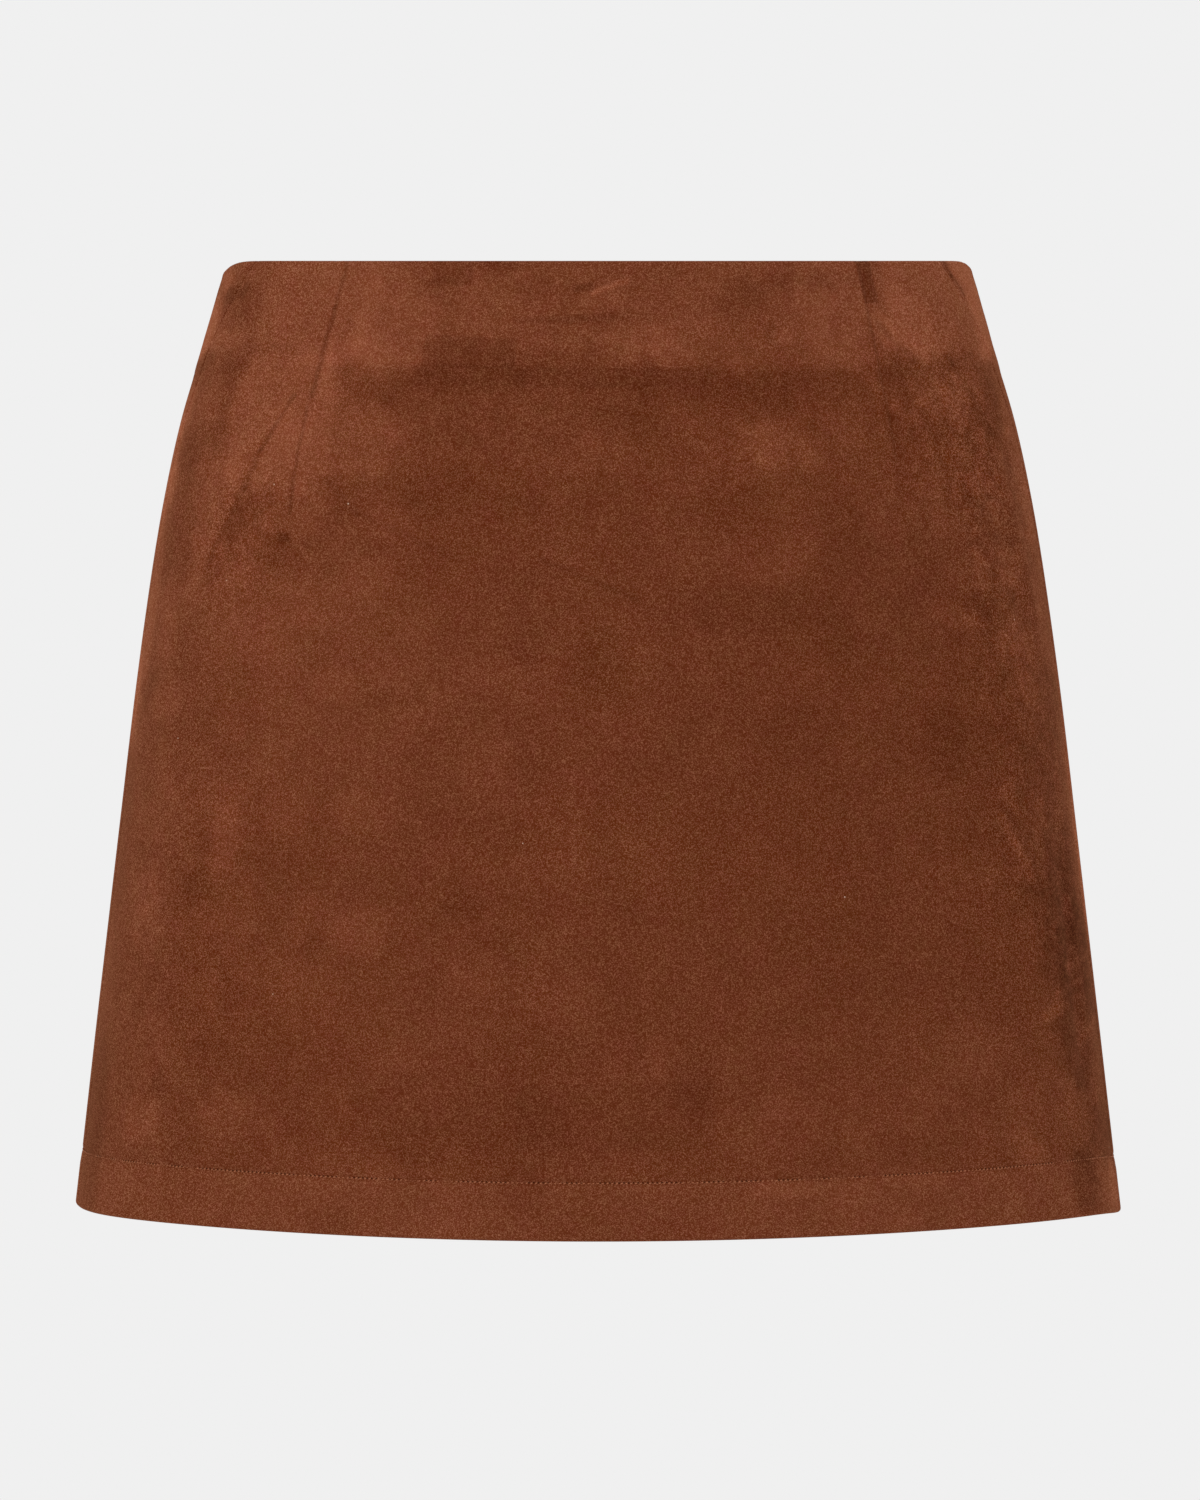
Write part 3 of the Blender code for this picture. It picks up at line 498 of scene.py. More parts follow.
Row = namedtuple("Row", "face_inset face_depth back_inset back_depth")


def fold_rows(edge, towards, radius):
    """Rows round an edge that is folded in, from the outer face to the turned-in layer."""
    back = radius - SUEDE
    rows = []
    for turn in (math.pi * step / FOLD_STEPS for step in range(FOLD_STEPS + 1)):
        face_depth = edge - towards * radius * (1 - math.sin(turn))
        back_depth = edge - towards * (radius - back * math.sin(turn))
        rows.append(
            Row(radius * (1 - math.cos(turn)), face_depth, radius - back * math.cos(turn), back_depth)
        )
    return rows


def strip_rows(depths, inset, thickness):
    return [Row(inset, depth, inset + thickness, depth) for depth in depths]


def panel_rows():
    """A suede panel from the end of its waist turning, over the edge, down to the end of its hem."""
    below_fold = WAIST_FOLD_RADIUS + WAIST_TURNING_CLEAR
    above_hem = SIDE_LENGTH - HEM_FOLD_RADIUS - HEM_TURNING_CLEAR
    waist_turning = np.linspace(WAIST_TURN, below_fold, WAIST_TURNING_ROWS)
    hem_turning = np.linspace(above_hem, SIDE_LENGTH - HEM_TURN, HEM_TURNING_ROWS)
    body = np.arange(WAIST_FOLD_RADIUS + ROW_STEP, above_hem, ROW_STEP)
    body = [depth for depth in body if abs(depth - STITCH_DEPTH) > STITCH_CLEAR]
    body += [STITCH_DEPTH + away for away in STITCH_ROWS]
    return (
        strip_rows(waist_turning, 2 * WAIST_FOLD_RADIUS, -SUEDE)
        + fold_rows(0.0, -1, WAIST_FOLD_RADIUS)[::-1]
        + strip_rows(sorted(body), 0.0, SUEDE)
        + fold_rows(SIDE_LENGTH, 1, HEM_FOLD_RADIUS)
        + strip_rows(hem_turning, 2 * HEM_FOLD_RADIUS, -SUEDE)
    )


def spread(marks, counts):
    """Every mark, with each space from one to the next cut into its count of equal steps."""
    angles = [marks[0]]
    for first, last, count in zip(marks, marks[1:], counts):
        angles += [first + (last - first) * step / count for step in range(1, count + 1)]
    return angles


def side_seam(nominal):
    return math.radians(float(smooth(SKIRT, "seam_deg", nominal)))


def half_width_at(nominal):
    return float(smooth(SKIRT, "half_width", nominal))


def zip_half_gap(nominal):
    return float(np.interp(nominal, (ZIP_MOUTH_DEPTH, ZIP_CLOSED_DEPTH), (ZIP_HALF_MOUTH, 0.0)))


def front_angles(nominal):
    seam, dart = side_seam(nominal), math.radians(FRONT_DART_DEG)
    crease = DART_EDGE / half_width_at(nominal)
    edge = SEAM_EDGE / float(smooth(SKIRT, "front", nominal))
    right = [0.0, dart - crease, dart + crease, seam - edge, seam]
    counts = [44, 14, 34, 5]
    return spread([-a for a in right[:0:-1]] + right, counts[::-1] + counts)


def back_angles(nominal):
    seam, dart = side_seam(nominal), math.pi - math.radians(BACK_DART_DEG)
    half_width = half_width_at(nominal)
    crease, edge = DART_EDGE / half_width, SEAM_EDGE / half_width
    middle = math.pi - zip_half_gap(nominal) / half_width
    marks = [seam, seam + edge, dart - crease, dart + crease, middle - edge, middle]
    return spread(marks, counts=[5, 36, 14, 40, 5])


def front_facing_angles(nominal):
    return spread([-side_seam(nominal), side_seam(nominal)], counts=[110])


def back_facing_angles(nominal):
    end = math.pi - (TAPE_OUTER_EDGE + SEAM_GAP) / half_width_at(nominal)
    return spread([side_seam(nominal), end], counts=[60])


def tape_angles(nominal):
    marks = [math.pi - edge / half_width_at(nominal) for edge in (TAPE_OUTER_EDGE, TAPE_INNER_EDGE)]
    return spread(marks, counts=[8])


def other_side(angles_at):
    """The columns of the mirrored piece."""
    return lambda nominal: [-angle for angle in reversed(angles_at(nominal))]


# ---- shells

SHARP_DEG = 55  # the shading breaks at edges sharper than this


def add_object(name, data):
    made = bpy.data.objects.new(name, data)
    bpy.context.scene.collection.objects.link(made)
    return made


def mesh_object(name, points, faces, material):
    data = bpy.data.meshes.new(name)
    data.from_pydata(points, [], faces)
    data.materials.append(material)
    return add_object(name, data)


def arc_lengths(grid, axis):
    """How far along its rows or columns each point of a grid lies."""
    steps = np.linalg.norm(np.diff(grid, axis=axis), axis=-1).cumsum(axis)
    return np.insert(steps, 0, 0.0, axis=axis)


def shell(name, face, back, material, tones=None):
    """A closed thin shell between two grids of points, with any brushing and painted light and shade as
    point attributes.
    """
    rows, columns = face.shape[:2]
    points = np.concatenate([face.reshape(-1, 3), back.reshape(-1, 3)]) * MM
    index = np.arange(rows * columns).reshape(rows, columns)
    quads = np.stack([index[:-1, :-1], index[1:, :-1], index[1:, 1:], index[:-1, 1:]], -1).reshape(-1, 4)
    rim = np.concatenate([index[0, :-1], index[:-1, -1], index[-1, :0:-1], index[:0:-1, 0]])
    ahead = np.roll(rim, -1)
    under = rows * columns
    walls = np.stack([rim, ahead, ahead + under, rim + under], -1)
    faces = np.concatenate([quads, quads[:, ::-1] + under, walls])
    made = mesh_object(name, points.tolist(), faces.tolist(), material)
    data = made.data
    data.shade_smooth()
    data.set_sharp_from_angle(angle=math.radians(SHARP_DEG))
    flat = np.stack([arc_lengths(face, 1), arc_lengths(face, 0)], -1).reshape(-1, 2) * MM
    flat = np.concatenate([flat, flat])
    corners = np.empty(len(data.loops), np.int32)
    data.loops.foreach_get("vertex_index", corners)
    data.uv_layers.new(name="cloth").data.foreach_set("uv", flat[corners].astype(np.float32).ravel())
    for key, values in (tones or {}).items():
        spots = data.attributes.new(key, "FLOAT", "POINT")
        both = np.concatenate([values.ravel(), np.zeros(under)])
        spots.data.foreach_set("value", both.astype(np.float32))
    return made


def brushing_and_painted_light(angle, depth, outer):
    """What the suede's shader reads at each point of a panel: the pile's brushing, with painted light and
    shade in its tone. outer is 1 on the face that shows.
    """
    nap_and_painted_light = patched(angle, depth, NAP_AND_PAINTED_LIGHT)
    nap_and_painted_light += HEM_BAND_TONE * between(depth, STITCH_DEPTH, STITCH_DEPTH + 1.5)
    nap_and_painted_light += FACING_TONE * between(depth, FACING_DEPTH + 1.5, FACING_DEPTH - 1)
    crush = patched(angle, depth, CRUSH)
    turned = np.degrees(np.abs(angle))
    beside = between(turned, 30, 75) * between(turned, 135, 90)  # 1 at the sides
    return {
        "nap_and_painted_light": nap_and_painted_light * outer,
        "crush": crush * outer,
        "tips": TIPS - TIPS_PER_TONE * nap_and_painted_light + SIDE_TIPS * beside * (0.5 + 0.5 * crush),
        "outer": outer,
        "round": angle,
        "down": depth,
    }


def skirt_shell(name, rows, angles_at, material, creased=False):
    """A piece that follows the skirt."""
    angle = np.array([angles_at(row.face_depth) for row in rows])
    grid = np.ones_like(angle)
    face_inset, face_depth, back_inset, back_depth = (np.array(rows)[:, k, None] * grid for k in range(4))
    point, inwards = skirt_surface(angle, face_depth)
    back_point, back_inwards = skirt_surface(angle, back_depth)
    raised = np.zeros_like(angle)
    tones = None
    if creased:
        raised = relief(angle, face_depth) - seam_roll(arc_lengths(point, 1))
        tones = brushing_and_painted_light(angle, face_depth, (face_inset < WAIST_FOLD_RADIUS) * grid)
    face = point + inwards * (face_inset - raised)[..., None]
    back = back_point + back_inwards * (back_inset - raised)[..., None]
    return shell(name, face, back, material, tones)


def shorts_surface(share, depth, under):
    """Points of the outer face of the shorts' +X half.

    share runs round the half, and under is 0 on the rise and 1 on the leg.
    """
    margin = {key: smooth(SHORTS_MARGINS, key, depth) for key in ("side", "front", "back")}
    half_width = smooth(SKIRT, "half_width", depth)
    half_turn = math.pi * share
    front = smooth(SKIRT, "front", depth) - margin["front"]
    reach = np.where(np.cos(half_turn) > 0, front, smooth(SKIRT, "back", depth) - margin["back"])
    outside = half_width - margin["side"]
    body = np.stack([outside * np.sin(half_turn), -reach * np.cos(half_turn), -depth], -1)
    down = np.clip((depth - CROTCH) / (LEG_HEM - CROTCH), 0, 1)
    outside = outside + down * (SHORTS_MARGINS[-1].side - LEG_MARGIN_AT_HEM)
    inside = down * LEG_GAP_AT_HEM
    half_depth = LEG_HALF_DEPTH + down * (LEG_HALF_DEPTH_AT_HEM - LEG_HALF_DEPTH)
    turn = 2 * math.pi * share
    across = (inside + outside) / 2 - (outside - inside) / 2 * np.cos(turn)
    leg = np.stack([across, -half_depth * np.sin(turn), -depth], -1)
    over_leg = between(depth, BLEND_START, CROTCH)
    blend = (under + (over_leg - under) * np.sin(half_turn))[..., None]
    return body * (1 - blend) + leg * blend


GATHER = 0.55  # how far the jersey's gathers sink
GATHERS_START = 45.0
GATHERS_FULL = 125.0
LEG_STITCHING = 16.0  # how far its line lies above the leg's edge
LEG_STITCH_GROOVE = 0.2
LEG_GROOVE_HALF_WIDTH = 0.8
SHORTS_ROWS = (52, 40, 26)  # down to the rise, round it, and down the legs
SHORTS_COLUMNS = 121


def shorts_shell(name, side, material):
    """One half of the shorts, with light gathers where the jersey hangs free."""
    down_body, round_rise, down_leg = SHORTS_ROWS
    upper = np.linspace(SHORTS_TOP, RISE_START, down_body)
    turn = np.linspace(0, math.pi / 2, round_rise)[1:]
    lower = np.linspace(CROTCH, LEG_HEM, down_leg)[1:]
    depth = np.concatenate([upper, RISE_START + (CROTCH - RISE_START) * np.sin(turn), lower])
    under = np.concatenate([upper * 0, 1 - np.cos(turn), lower * 0 + 1])
    share = np.linspace(0, 1, SHORTS_COLUMNS)
    grid = np.ones((len(depth), len(share)))
    depth, under, share = depth[:, None] * grid, under[:, None] * grid, share[None] * grid
    face = shorts_surface(share, depth, under)
    nudge = 0.001
    around = shorts_surface(share + nudge, depth, under) - shorts_surface(share - nudge, depth, under)
    inwards = unit(np.cross(around, np.gradient(face, axis=0)))
    loose = between(depth, GATHERS_START, GATHERS_FULL) * np.sin(math.pi * share)
    # two sets of gathers that run down the leg and drift a little sideways
    wave = np.sin(share * 37 + 1.3 * np.sin(depth / 41) + side) + 0.6 * np.sin(share * 71 - depth / 63)
    hem = np.exp(-(((depth - LEG_HEM + LEG_STITCHING) / LEG_GROOVE_HALF_WIDTH) ** 2))
    inset = GATHER * loose * (1 + wave * 0.6) + LEG_STITCH_GROOVE * hem
    face = face + inwards * inset[..., None]
    back = face + inwards * JERSEY
    for layer in (face, back):
        layer[..., 0] = np.maximum(layer[..., 0], 0.0)
    if side < 0:
        face, back = (layer[:, ::-1] * (-1, 1, 1) for layer in (face, back))
    return shell(name, face, back, material)


# ---- hem stitching

HEM_STITCH = 1.73
THREAD_SINK = 0.26  # how deep a stitch can lie in the pile
RING_POINTS = 4001
DOWN = np.array([0.0, 0.0, -1.0])


def beads(name, places, size, material, rings=5, sides=6):
    """Many small rounded stitches in one mesh. size is half a stitch's length, width and height."""
    centres, forwards, outwards = places
    turn = np.linspace(0, 2 * math.pi, sides, endpoint=False)
    along = np.linspace(-1, 1, rings + 2)[1:-1]
    swell = np.sqrt(1 - along**2)
    forwards, outwards = unit(forwards), unit(outwards)
    axes = (forwards, np.cross(outwards, forwards), outwards)
    shape = [(-1.0, 0.0, 0.0)]
    shape += [(a, s * math.cos(t), s * math.sin(t)) for a, s in zip(along, swell) for t in turn]
    shape += [(1.0, 0.0, 0.0)]
    shape = np.array(shape) * size
    points = centres[:, None] + sum(shape[None, :, k, None] * axis[:, None] for k, axis in enumerate(axes))
    faces = []
    for s in range(sides):
        t = (s + 1) % sides
        faces.append((0, 1 + t, 1 + s))
        for low in range(1, 1 + (rings - 1) * sides, sides):
            high = low + sides
            faces.append((low + s, low + t, high + t, high + s))
        last = 1 + (rings - 1) * sides
        faces.append((last + s, last + t, last + sides))
    every = [tuple(i + k * len(shape) for i in face) for k in range(len(centres)) for face in faces]
    made = mesh_object(name, (points.reshape(-1, 3) * MM).tolist(), every, material)
    made.data.shade_smooth()
    return made


def hem_line(inset, shift, drop, slant_deg):
    """Places all round the hem's stitching line: centres, the way along, the way out."""
    angle = np.linspace(-math.pi, math.pi, RING_POINTS)
    depth = np.full_like(angle, STITCH_DEPTH)
    point, inwards = skirt_surface(angle, depth)
    point = point + inwards * (inset - relief(angle, depth))[:, None]
    arc = arc_lengths(point, 0)

    def at_arc(values, at):
        return np.stack([np.interp(at, arc, values[:, k]) for k in range(3)], -1)

    count = int(arc[-1] / HEM_STITCH)
    at = (np.arange(count) + 0.5 + shift) % count * arc[-1] / count
    spots, out = at_arc(point, at), -at_arc(inwards, at)
    ahead = unit(at_arc(point, at + 0.5) - spots)
    sunk = THREAD_SINK * np.maximum(wobble(at, at / 7), 0)
    slant = math.radians(slant_deg)
    spots = spots + drop * DOWN - sunk[:, None] * out
    return spots, ahead * math.cos(slant) + DOWN * math.sin(slant), out


# ---- materials


class Nodes:
    """A new material, and a short way to build its node tree. where is each point's place, in metres."""

    def __init__(self, name):
        self.material = bpy.data.materials.new(name)
        self.material.use_nodes = True
        self.tree = self.material.node_tree
        self.where = self.add("ShaderNodeTexCoord").outputs["Object"]

    def feed(self, socket, value):
        if hasattr(value, "is_output"):
            self.tree.links.new(value, socket)
        else:
            socket.default_value = value

    def add(self, kind, inputs=None, **settings):
        """A new node, with its settings and what goes into its named inputs."""
        node = self.tree.nodes.new(kind)
        for key, value in settings.items():
            setattr(node, key, value)
        for key, value in (inputs or {}).items():
            self.feed(node.inputs[key], value)
        return node

    def finished(self, inputs):
        """The material, once its shader has what goes into its named inputs."""
        shader = self.tree.nodes["Principled BSDF"]
        for key, value in inputs.items():
            self.feed(shader.inputs[key], value)
        return self.material

    def operate(self, kind, operation, values):
        node = self.add(kind, operation=operation)
        for socket, value in zip(node.inputs, values):
            self.feed(socket, value)
        return node

    def math(self, operation, *values):
        return self.operate("ShaderNodeMath", operation, values).outputs[0]

    def vector(self, operation, *values):
        """A vector sum; a dot product or distance gives a number."""
        gives = "Value" if operation in ("DOT_PRODUCT", "DISTANCE") else "Vector"
        return self.operate("ShaderNodeVectorMath", operation, values).outputs[gives]

    def scaled(self, vector, factor):
        inputs = {"Vector": vector, "Scale": factor}
        return self.add("ShaderNodeVectorMath", inputs, operation="SCALE").outputs["Vector"]

    def clamped(self, value):
        return self.add("ShaderNodeClamp", {"Value": value}).outputs[0]

    def within(self, distance, reach, edge):
        """1 where a distance is under its reach, falling smoothly to 0 over the edge."""
        ends = {"Value": distance, "From Min": reach + edge / 2, "From Max": reach - edge / 2}
        return self.add("ShaderNodeMapRange", ends, interpolation_type="SMOOTHSTEP").outputs["Result"]

    def noise_node(self, where, scale, detail=2.0, roughness=0.5, distortion=0.0):
        kind = {"Scale": scale, "Detail": detail, "Roughness": roughness, "Distortion": distortion}
        return self.add("ShaderNodeTexNoise", {"Vector": where, **kind})

    def noise(self, where, *kind):
        """Noise about 0. kind is its scale, detail, roughness and distortion."""
        return self.math("SUBTRACT", self.noise_node(where, *kind).outputs["Fac"], 0.5)

    def attribute(self, name):
        return self.add("ShaderNodeAttribute", attribute_name=name).outputs["Fac"]

    def total(self, *terms, start=0.0):
        """The sum of (value, weight) pairs."""
        for value, weight in terms:
            start = self.math("MULTIPLY_ADD", value, weight, start)
        return start

    def mixed(self, factor, first, second):
        """The first colour at factor 0, the second at 1."""
        inputs = {"Factor": factor, "A": first, "B": second}
        return self.add("ShaderNodeMix", inputs, data_type="RGBA").outputs["Result"]

    def ramp(self, value, stops):
        node = self.add("ShaderNodeValToRGB", {"Fac": value})
        elements = node.color_ramp.elements
        elements.remove(elements[0])
        for k, (place, colour) in enumerate(stops):
            element = elements[0] if k == 0 else elements.new(place)
            element.position = place
            element.color = (*colour, 1)
        return node.outputs["Color"]

    def bump(self, height, strength, distance):
        inputs = {"Height": height, "Strength": strength, "Distance": distance}
        return self.add("ShaderNodeBump", inputs).outputs["Normal"]


def tinted(colour, *factors):
    return tuple(c * f for c, f in zip(colour, factors))


SUEDE_COLOUR = (0.1290, 0.0338, 0.0140)
SHEEN_TINT = (0.85, 0.38, 0.20, 1)
FIBRE_TIP = 0.00031  # how wide one is, in metres
FIBRE_GLINT = (1.1, 1.95, 2.75)  # how far a fibre tip lightens each part of the colour
LINT_COLOUR = (0.45, 0.30, 0.22, 1)
LINT_CELLS = 110.0  # how many places for a speck of lint there are to a metre
LINT_RADIUS = 0.035  # as a share of a place
NO_LINT = 0.86  # the share of places without a speck


def stroke_cover(nodes, away, mark, scale):
    """1 on a stroke, falling to 0 over its edge. away is the way from its start, in millimetres."""
    run = (math.radians(mark.to_deg - mark.deg) * scale, mark.to_depth - mark.depth, 0.0)
    squared = run[0] ** 2 + run[1] ** 2
    share = nodes.clamped(nodes.vector("DOT_PRODUCT", away, tuple(r / squared for r in run)))
    distance = nodes.vector("DISTANCE", away, nodes.scaled(run, share))
    return nodes.within(distance, mark.half_width, mark.half_width * STROKE_EDGE)


def box_cover(nodes, away, mark, scale):
    """1 on a box, falling to 0 over its edge. away is the way from its middle, in millimetres."""
    cosine, sine = math.cos(math.radians(mark.turn_deg)), math.sin(math.radians(mark.turn_deg))
    across = nodes.math("ABSOLUTE", nodes.vector("DOT_PRODUCT", away, (cosine, sine, 0.0)))
    down = nodes.math("ABSOLUTE", nodes.vector("DOT_PRODUCT", away, (-sine, cosine, 0.0)))
    across_beyond = nodes.math("SUBTRACT", across, mark.half_width)
    down_beyond = nodes.math("SUBTRACT", down, mark.half_height)
    return nodes.within(nodes.math("MAXIMUM", across_beyond, down_beyond), 0.0, mark.edge)


def marks_on(nodes):
    """The crisp marks' tones, painted shade and highlights among them, from the angle round the skirt and
    the depth that its faces carry.
    """
    place_on = nodes.add(
        "ShaderNodeCombineXYZ", {"X": nodes.attribute("round"), "Y": nodes.attribute("down")}
    )
    ragged = nodes.noise_node(nodes.where, 260.0, 3.0)
    sway = (2 * RAGGED_EDGE / MEAN_RADIUS, 2 * RAGGED_EDGE, 0.0)
    steady = tuple(-amount / 2 for amount in sway)
    moved = nodes.vector("MULTIPLY_ADD", ragged.outputs["Color"], sway, steady)
    moved = nodes.vector("ADD", place_on.outputs[0], moved)
    tone = 0.0
    for marks, cover in ((STROKES, stroke_cover), (BOXES, box_cover)):
        for mark in marks:
            scale = per_radian(mark.deg, mark.depth)
            back = (-math.radians(mark.deg) * scale, -mark.depth, 0.0)
            away = nodes.vector("MULTIPLY_ADD", moved, (scale, 1.0, 0.0), back)
            tone = nodes.math("MULTIPLY_ADD", cover(nodes, away, mark, scale), mark.tone, tone)
    return tone


def lint(nodes, colour):
    """The colour, with a pale speck here and there."""
    specks = nodes.add("ShaderNodeTexVoronoi", {"Vector": nodes.where, "Scale": LINT_CELLS})
    tiny = nodes.math("LESS_THAN", specks.outputs["Distance"], LINT_RADIUS)
    pick = nodes.add("ShaderNodeSeparateColor", {"Color": specks.outputs["Color"]})
    chosen = nodes.math("GREATER_THAN", pick.outputs[0], NO_LINT)
    return nodes.mixed(nodes.math("MULTIPLY", tiny, chosen), colour, LINT_COLOUR)


def suede_material():
    """Brushed microfibre: a pile that lies lighter or darker in patches, over a fine grain; the patches
    and crisp marks also paint light and shade.
    """
    nodes = Nodes("suede")
    where = nodes.where
    crush = nodes.attribute("crush")
    outer = nodes.attribute("outer")
    lengthened = nodes.vector("MULTIPLY", where, (1.0, 0.6, 1.0))
    mottle = nodes.noise(where, 95.0, 2.0, 0.6, 0.6)
    rubbed = nodes.noise(lengthened, 135.0, 5.0, 0.74, 0.6)
    islands = nodes.within(nodes.noise(lengthened, 110.0, 4.0, 0.62, 1.0), 0.0, -0.09)
    grain = nodes.noise(where, 560.0, 3.0, 0.6)
    # the tone: brushing and random mottling, with painted light and shade from the nap patches and the
    # crisp marks
    tone = nodes.total(
        (nodes.attribute("nap_and_painted_light"), 0.2),
        (nodes.math("MULTIPLY", marks_on(nodes), outer), 0.2),
        (nodes.noise(where, 24.0, 2.0, 0.8, 0.4), 0.27),
        (mottle, 0.08),
        (nodes.math("MULTIPLY", rubbed, crush), 0.85),
        (nodes.math("MULTIPLY", nodes.math("SUBTRACT", islands, 0.5), crush), 0.11),
        start=0.5,
    )
    dark, light = tinted(SUEDE_COLOUR, 0.42, 0.32, 0.20), tinted(SUEDE_COLOUR, 1.85, 2.11, 2.40)
    pile = nodes.ramp(tone, [(0.0, dark), (0.5, SUEDE_COLOUR), (1.0, light)])
    hue = nodes.total((nodes.noise(where, 70.0, 4.0, 0.95), 0.022), start=0.5)
    hued = nodes.add("ShaderNodeHueSaturation", {"Hue": hue, "Color": pile}).outputs["Color"]
    cell = nodes.vector("SNAP", where, (FIBRE_TIP, FIBRE_TIP, FIBRE_TIP))
    tip = nodes.add("ShaderNodeTexWhiteNoise", {"Vector": cell}).outputs["Value"]
    bright = nodes.math("SUBTRACT", nodes.math("POWER", tip, 3.0), 0.25)  # so that the mean stays
    glinting = nodes.scaled(FIBRE_GLINT, nodes.math("MULTIPLY", bright, nodes.attribute("tips")))
    brushed = nodes.vector("MULTIPLY", hued, nodes.vector("ADD", glinting, (1.0, 1.0, 1.0)))
    reverse = nodes.ramp(
        nodes.total((grain, 0.8), start=0.5),
        [(0.0, tinted(SUEDE_COLOUR, 0.5, 0.55, 0.6)), (1.0, tinted(SUEDE_COLOUR, 1.3, 1.5, 1.7))],
    )
    return nodes.finished(
        {
            "Base Color": lint(nodes, nodes.mixed(outer, reverse, brushed)),
            "Roughness": nodes.total((grain, 0.12), start=0.92),
            "Normal": nodes.bump(nodes.total((grain, 0.12), (mottle, 0.6)), 0.15, 0.0004),
            "Specular IOR Level": 0.0,
            "Sheen Weight": 0.18,
            "Sheen Roughness": 0.45,
            "Sheen Tint": SHEEN_TINT,
        }
    )


def woven_material(name, colour, thread_mm, sheen):
    """A plain weave or fine knit. Its threads, so far apart across and down, follow the cloth."""
    nodes = Nodes(name)
    flat = nodes.add("ShaderNodeUVMap", uv_map="cloth").outputs["UV"]
    split = nodes.add("ShaderNodeSeparateXYZ", {"Vector": flat})
    waves = []
    for axis, pitch in zip("XY", thread_mm):
        turns = nodes.math("MULTIPLY", split.outputs[axis], 2 * math.pi / (pitch * MM))
        waves.append(nodes.math("SINE", turns))
    weave = nodes.math("MULTIPLY", *waves)
    slub = nodes.noise(nodes.where, 60.0, 3.0, 0.55)
    fuzz = nodes.noise(nodes.where, 900.0, 2.0, 0.6)
    tone = nodes.total((weave, 0.12), (slub, 0.35), (fuzz, 0.5), start=0.5)
    shades = [(0.0, tinted(colour, 0.5, 0.5, 0.5)), (0.5, colour), (1.0, tinted(colour, 1.7, 1.75, 1.8))]
    return nodes.finished(
        {
            "Base Color": nodes.ramp(tone, shades),
            "Normal": nodes.bump(nodes.total((weave, 0.5), (fuzz, 0.8)), 0.4, 0.0003),
            "Roughness": 0.85,
            "Specular IOR Level": 0.05,
            "Sheen Weight": sheen,
            "Sheen Roughness": 0.5,
            "Sheen Tint": SHEEN_TINT,
        }
    )


def thread_material(name, colour):
    """Twisted polyester sewing thread."""
    nodes = Nodes(name)
    twist = nodes.noise(nodes.where, 2600.0, 2.0, 0.5)
    shades = [(0.0, tinted(colour, 0.55, 0.55, 0.55)), (1.0, tinted(colour, 1.5, 1.5, 1.5))]
    return nodes.finished(
        {
            "Base Color": nodes.ramp(nodes.math("ADD", twist, 0.5), shades),
            "Normal": nodes.bump(twist, 0.3, 0.0001),
            "Roughness": 0.8,
            "Specular IOR Level": 0.05,
        }
    )


def metal_material(name):
    """Lacquered die-cast zinc, worn a little on its edges."""
    nodes = Nodes(name)
    cast = nodes.noise(nodes.where, 700.0, 3.0, 0.6)
    wear = nodes.noise(nodes.where, 180.0, 4.0, 0.6)
    shades = [(0.3, (0.16, 0.058, 0.032)), (0.75, (0.20, 0.080, 0.046))]
    return nodes.finished(
        {
            "Base Color": nodes.ramp(nodes.math("ADD", wear, 0.5), shades),
            "Normal": nodes.bump(cast, 0.15, 0.00008),
            "Roughness": nodes.total((wear, 0.25), start=0.34),
            "Metallic": 0.6,
        }
    )


# ---- pieces


def place(piece, node, slot, cut):
    """Puts a cloth piece on the garment in place of its CAD node."""
    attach(piece, "garment")
    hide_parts(node)


def make_panels():
    suede = suede_material()
    rows = panel_rows()
    for name, node, angles_at, cut in (
        ("front_panel", "skirt_front", front_angles, FRONT_CUT),
        ("back_panel_left", "skirt_back_left", back_angles, BACK_CUT),
        ("back_panel_right", "skirt_back_right", other_side(back_angles), BACK_CUT),
    ):
        place(skirt_shell(name, rows, angles_at, suede, creased=True), node, "suede", cut)


def make_facings():
    cloth = woven_material("facing_cloth", colour=(0.120, 0.038, 0.018), thread_mm=(0.5, 0.5), sheen=0.1)
    rows = strip_rows(np.linspace(WAIST_TURN + SEAM_GAP, FACING_DEPTH, FACING_ROWS), FACING_INSET, FACING)
    for name, node, angles_at, cut in (
        ("front_facing", "facing_front", front_facing_angles, FRONT_FACING_CUT),
        ("back_facing_left", "facing_back_left", back_facing_angles, BACK_FACING_CUT),
        ("back_facing_right", "facing_back_right", other_side(back_facing_angles), BACK_FACING_CUT),
    ):
        place(skirt_shell(name, rows, angles_at, cloth), node, "facing_cloth", cut)


def make_tapes():
    cloth = woven_material("zip_tape", colour=(0.105, 0.034, 0.017), thread_mm=(0.7, 1.2), sheen=0.1)
    rows = strip_rows(np.linspace(WAIST_TURN + SEAM_GAP, ZIP_LENGTH, TAPE_ROWS), FACING_INSET, TAPE)
    for name, node, angles_at in (
        ("tape_left", "zip_tape_left", tape_angles),
        ("tape_right", "zip_tape_right", other_side(tape_angles)),
    ):
        place(skirt_shell(name, rows, angles_at, cloth), node, "zip_tape", TAPE_CUT)


def make_shorts():
    jersey = woven_material("jersey", colour=(0.105, 0.036, 0.019), thread_mm=(0.9, 0.7), sheen=0.15)
    for name, node, side in (
        ("shorts_half_left", "shorts_left", 1),
        ("shorts_half_right", "shorts_right", -1),
    ):
        place(shorts_shell(name, side, jersey), node, "jersey", SHORTS_CUT)


def make_stitches(name, places, size, material):
    """Thread round the hem, or dark beads that paint the shade in its needle holes, which belong to the
    suede.
    """
    stitches = beads(name, places, size, material)
    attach(stitches, "garment")


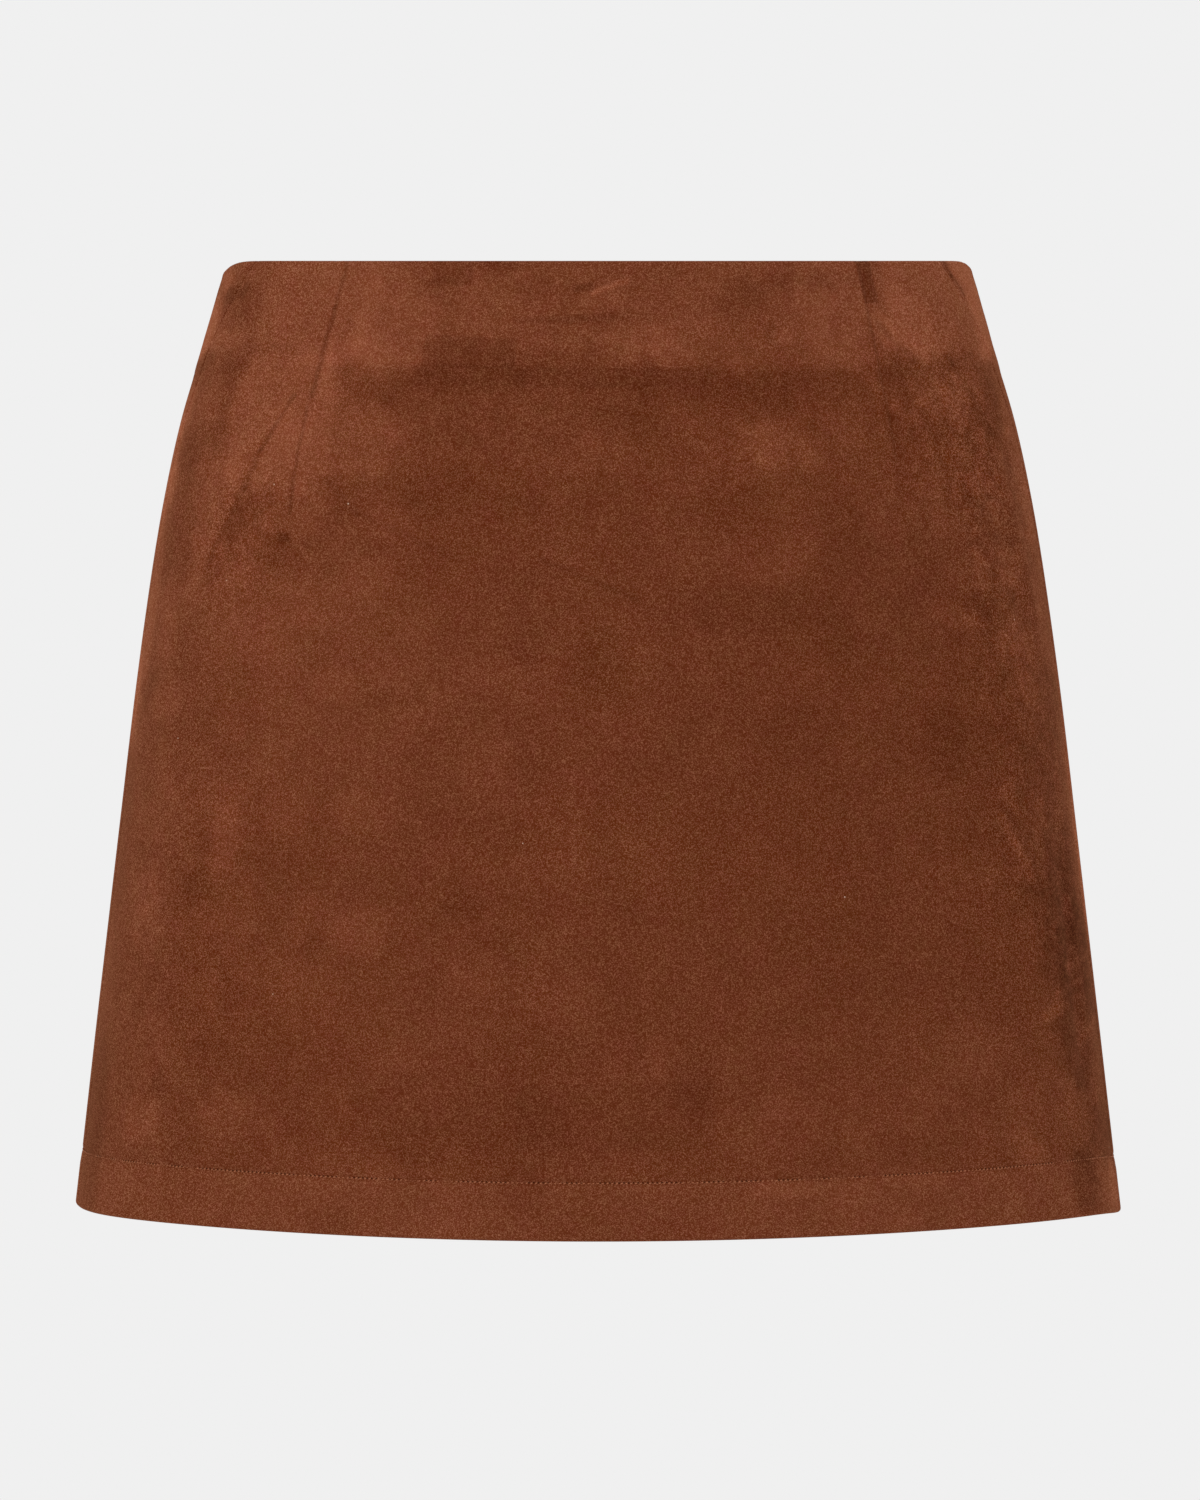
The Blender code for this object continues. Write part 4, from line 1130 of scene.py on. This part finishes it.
def make_zip_metal():
    zip_metal = metal_material("zip_metal")
    for node_name in ("zip_slider", "zip_pull_tab"):
        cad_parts[node_name].data.materials.clear()
        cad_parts[node_name].data.materials.append(zip_metal)


make_panels()
make_facings()
make_tapes()
make_shorts()
make_stitches(
    "hem_stitches",
    hem_line(inset=-0.06, shift=0.0, drop=0.16, slant_deg=-25.0),
    (0.54, 0.24, 0.22),
    thread_material("thread", (0.30, 0.108, 0.052)),
)
# dark beads that paint the shade inside the needle holes
make_stitches(
    "hem_hole_shade_beads",
    hem_line(inset=0.0, shift=0.5, drop=-0.08, slant_deg=35.0),
    (0.42, 0.28, 0.1),
    thread_material("painted_hole_shade", (0.045, 0.010, 0.002)),
)
make_zip_metal()

# ---- stage, light and camera, in metres and watts

PALE = (0.871, 0.871, 0.871, 1)
FLOOR_DEPTH = 5.6
FLOOR_RADIUS = 30.0
CAMERA_DISTANCE = 5.0
AIM = (0.0008, 0.0, -0.1829)
FRAME_HEIGHT = 0.5597  # how much the picture shows at the garment's middle
VIEW_END = 100.0


def pale_material():
    material = bpy.data.materials.new("pale_studio")
    material.use_nodes = True
    tree = material.node_tree
    tree.nodes.remove(tree.nodes["Principled BSDF"])
    glow = tree.nodes.new("ShaderNodeEmission")
    glow.inputs["Color"].default_value = PALE
    tree.links.new(glow.outputs[0], tree.nodes["Material Output"].inputs["Surface"])
    return material


def make_floor():
    turn = np.linspace(0, 2 * math.pi, 64, endpoint=False)
    rim = [(FLOOR_RADIUS * math.cos(t), FLOOR_RADIUS * math.sin(t), -FLOOR_DEPTH) for t in turn]
    floor = mesh_object("studio_floor", rim, [tuple(range(len(rim)))], pale_material())


def make_light(name, place_at, size, power):
    """A soft square lamp that faces the middle of the garment."""
    data = bpy.data.lights.new(name, "AREA")
    data.size = size
    data.energy = power
    lamp = add_object(name, data)
    lamp.location = place_at
    lamp.rotation_mode = "QUATERNION"
    lamp.rotation_quaternion = (Vector(AIM) - Vector(place_at)).to_track_quat("-Z", "Y")


def make_world():
    world = bpy.data.worlds.new("studio")
    world.use_nodes = True
    world.node_tree.nodes["Background"].inputs["Color"].default_value = PALE
    bpy.context.scene.world = world


def make_camera():
    """The camera stands level with the waist edge, straight in front of the garment's middle."""
    data = bpy.data.cameras.new("camera")
    camera = add_object("camera", data)
    camera.location = (AIM[0], -CAMERA_DISTANCE, 0.0)
    away = Vector(AIM) - camera.location
    camera.rotation_euler = away.to_track_quat("-Z", "Y").to_euler()
    data.lens = data.sensor_width * CAMERA_DISTANCE / FRAME_HEIGHT
    data.clip_end = VIEW_END
    bpy.context.scene.camera = camera


make_floor()
make_world()
make_light("key_upper_left", place_at=(-1.9, -2.4, 1.3), size=1.6, power=34.3)
make_light("fill_right", place_at=(2.2, -1.6, 0.2), size=1.6, power=6.0)
make_camera()
bpy.context.scene.view_settings.view_transform = "Standard"
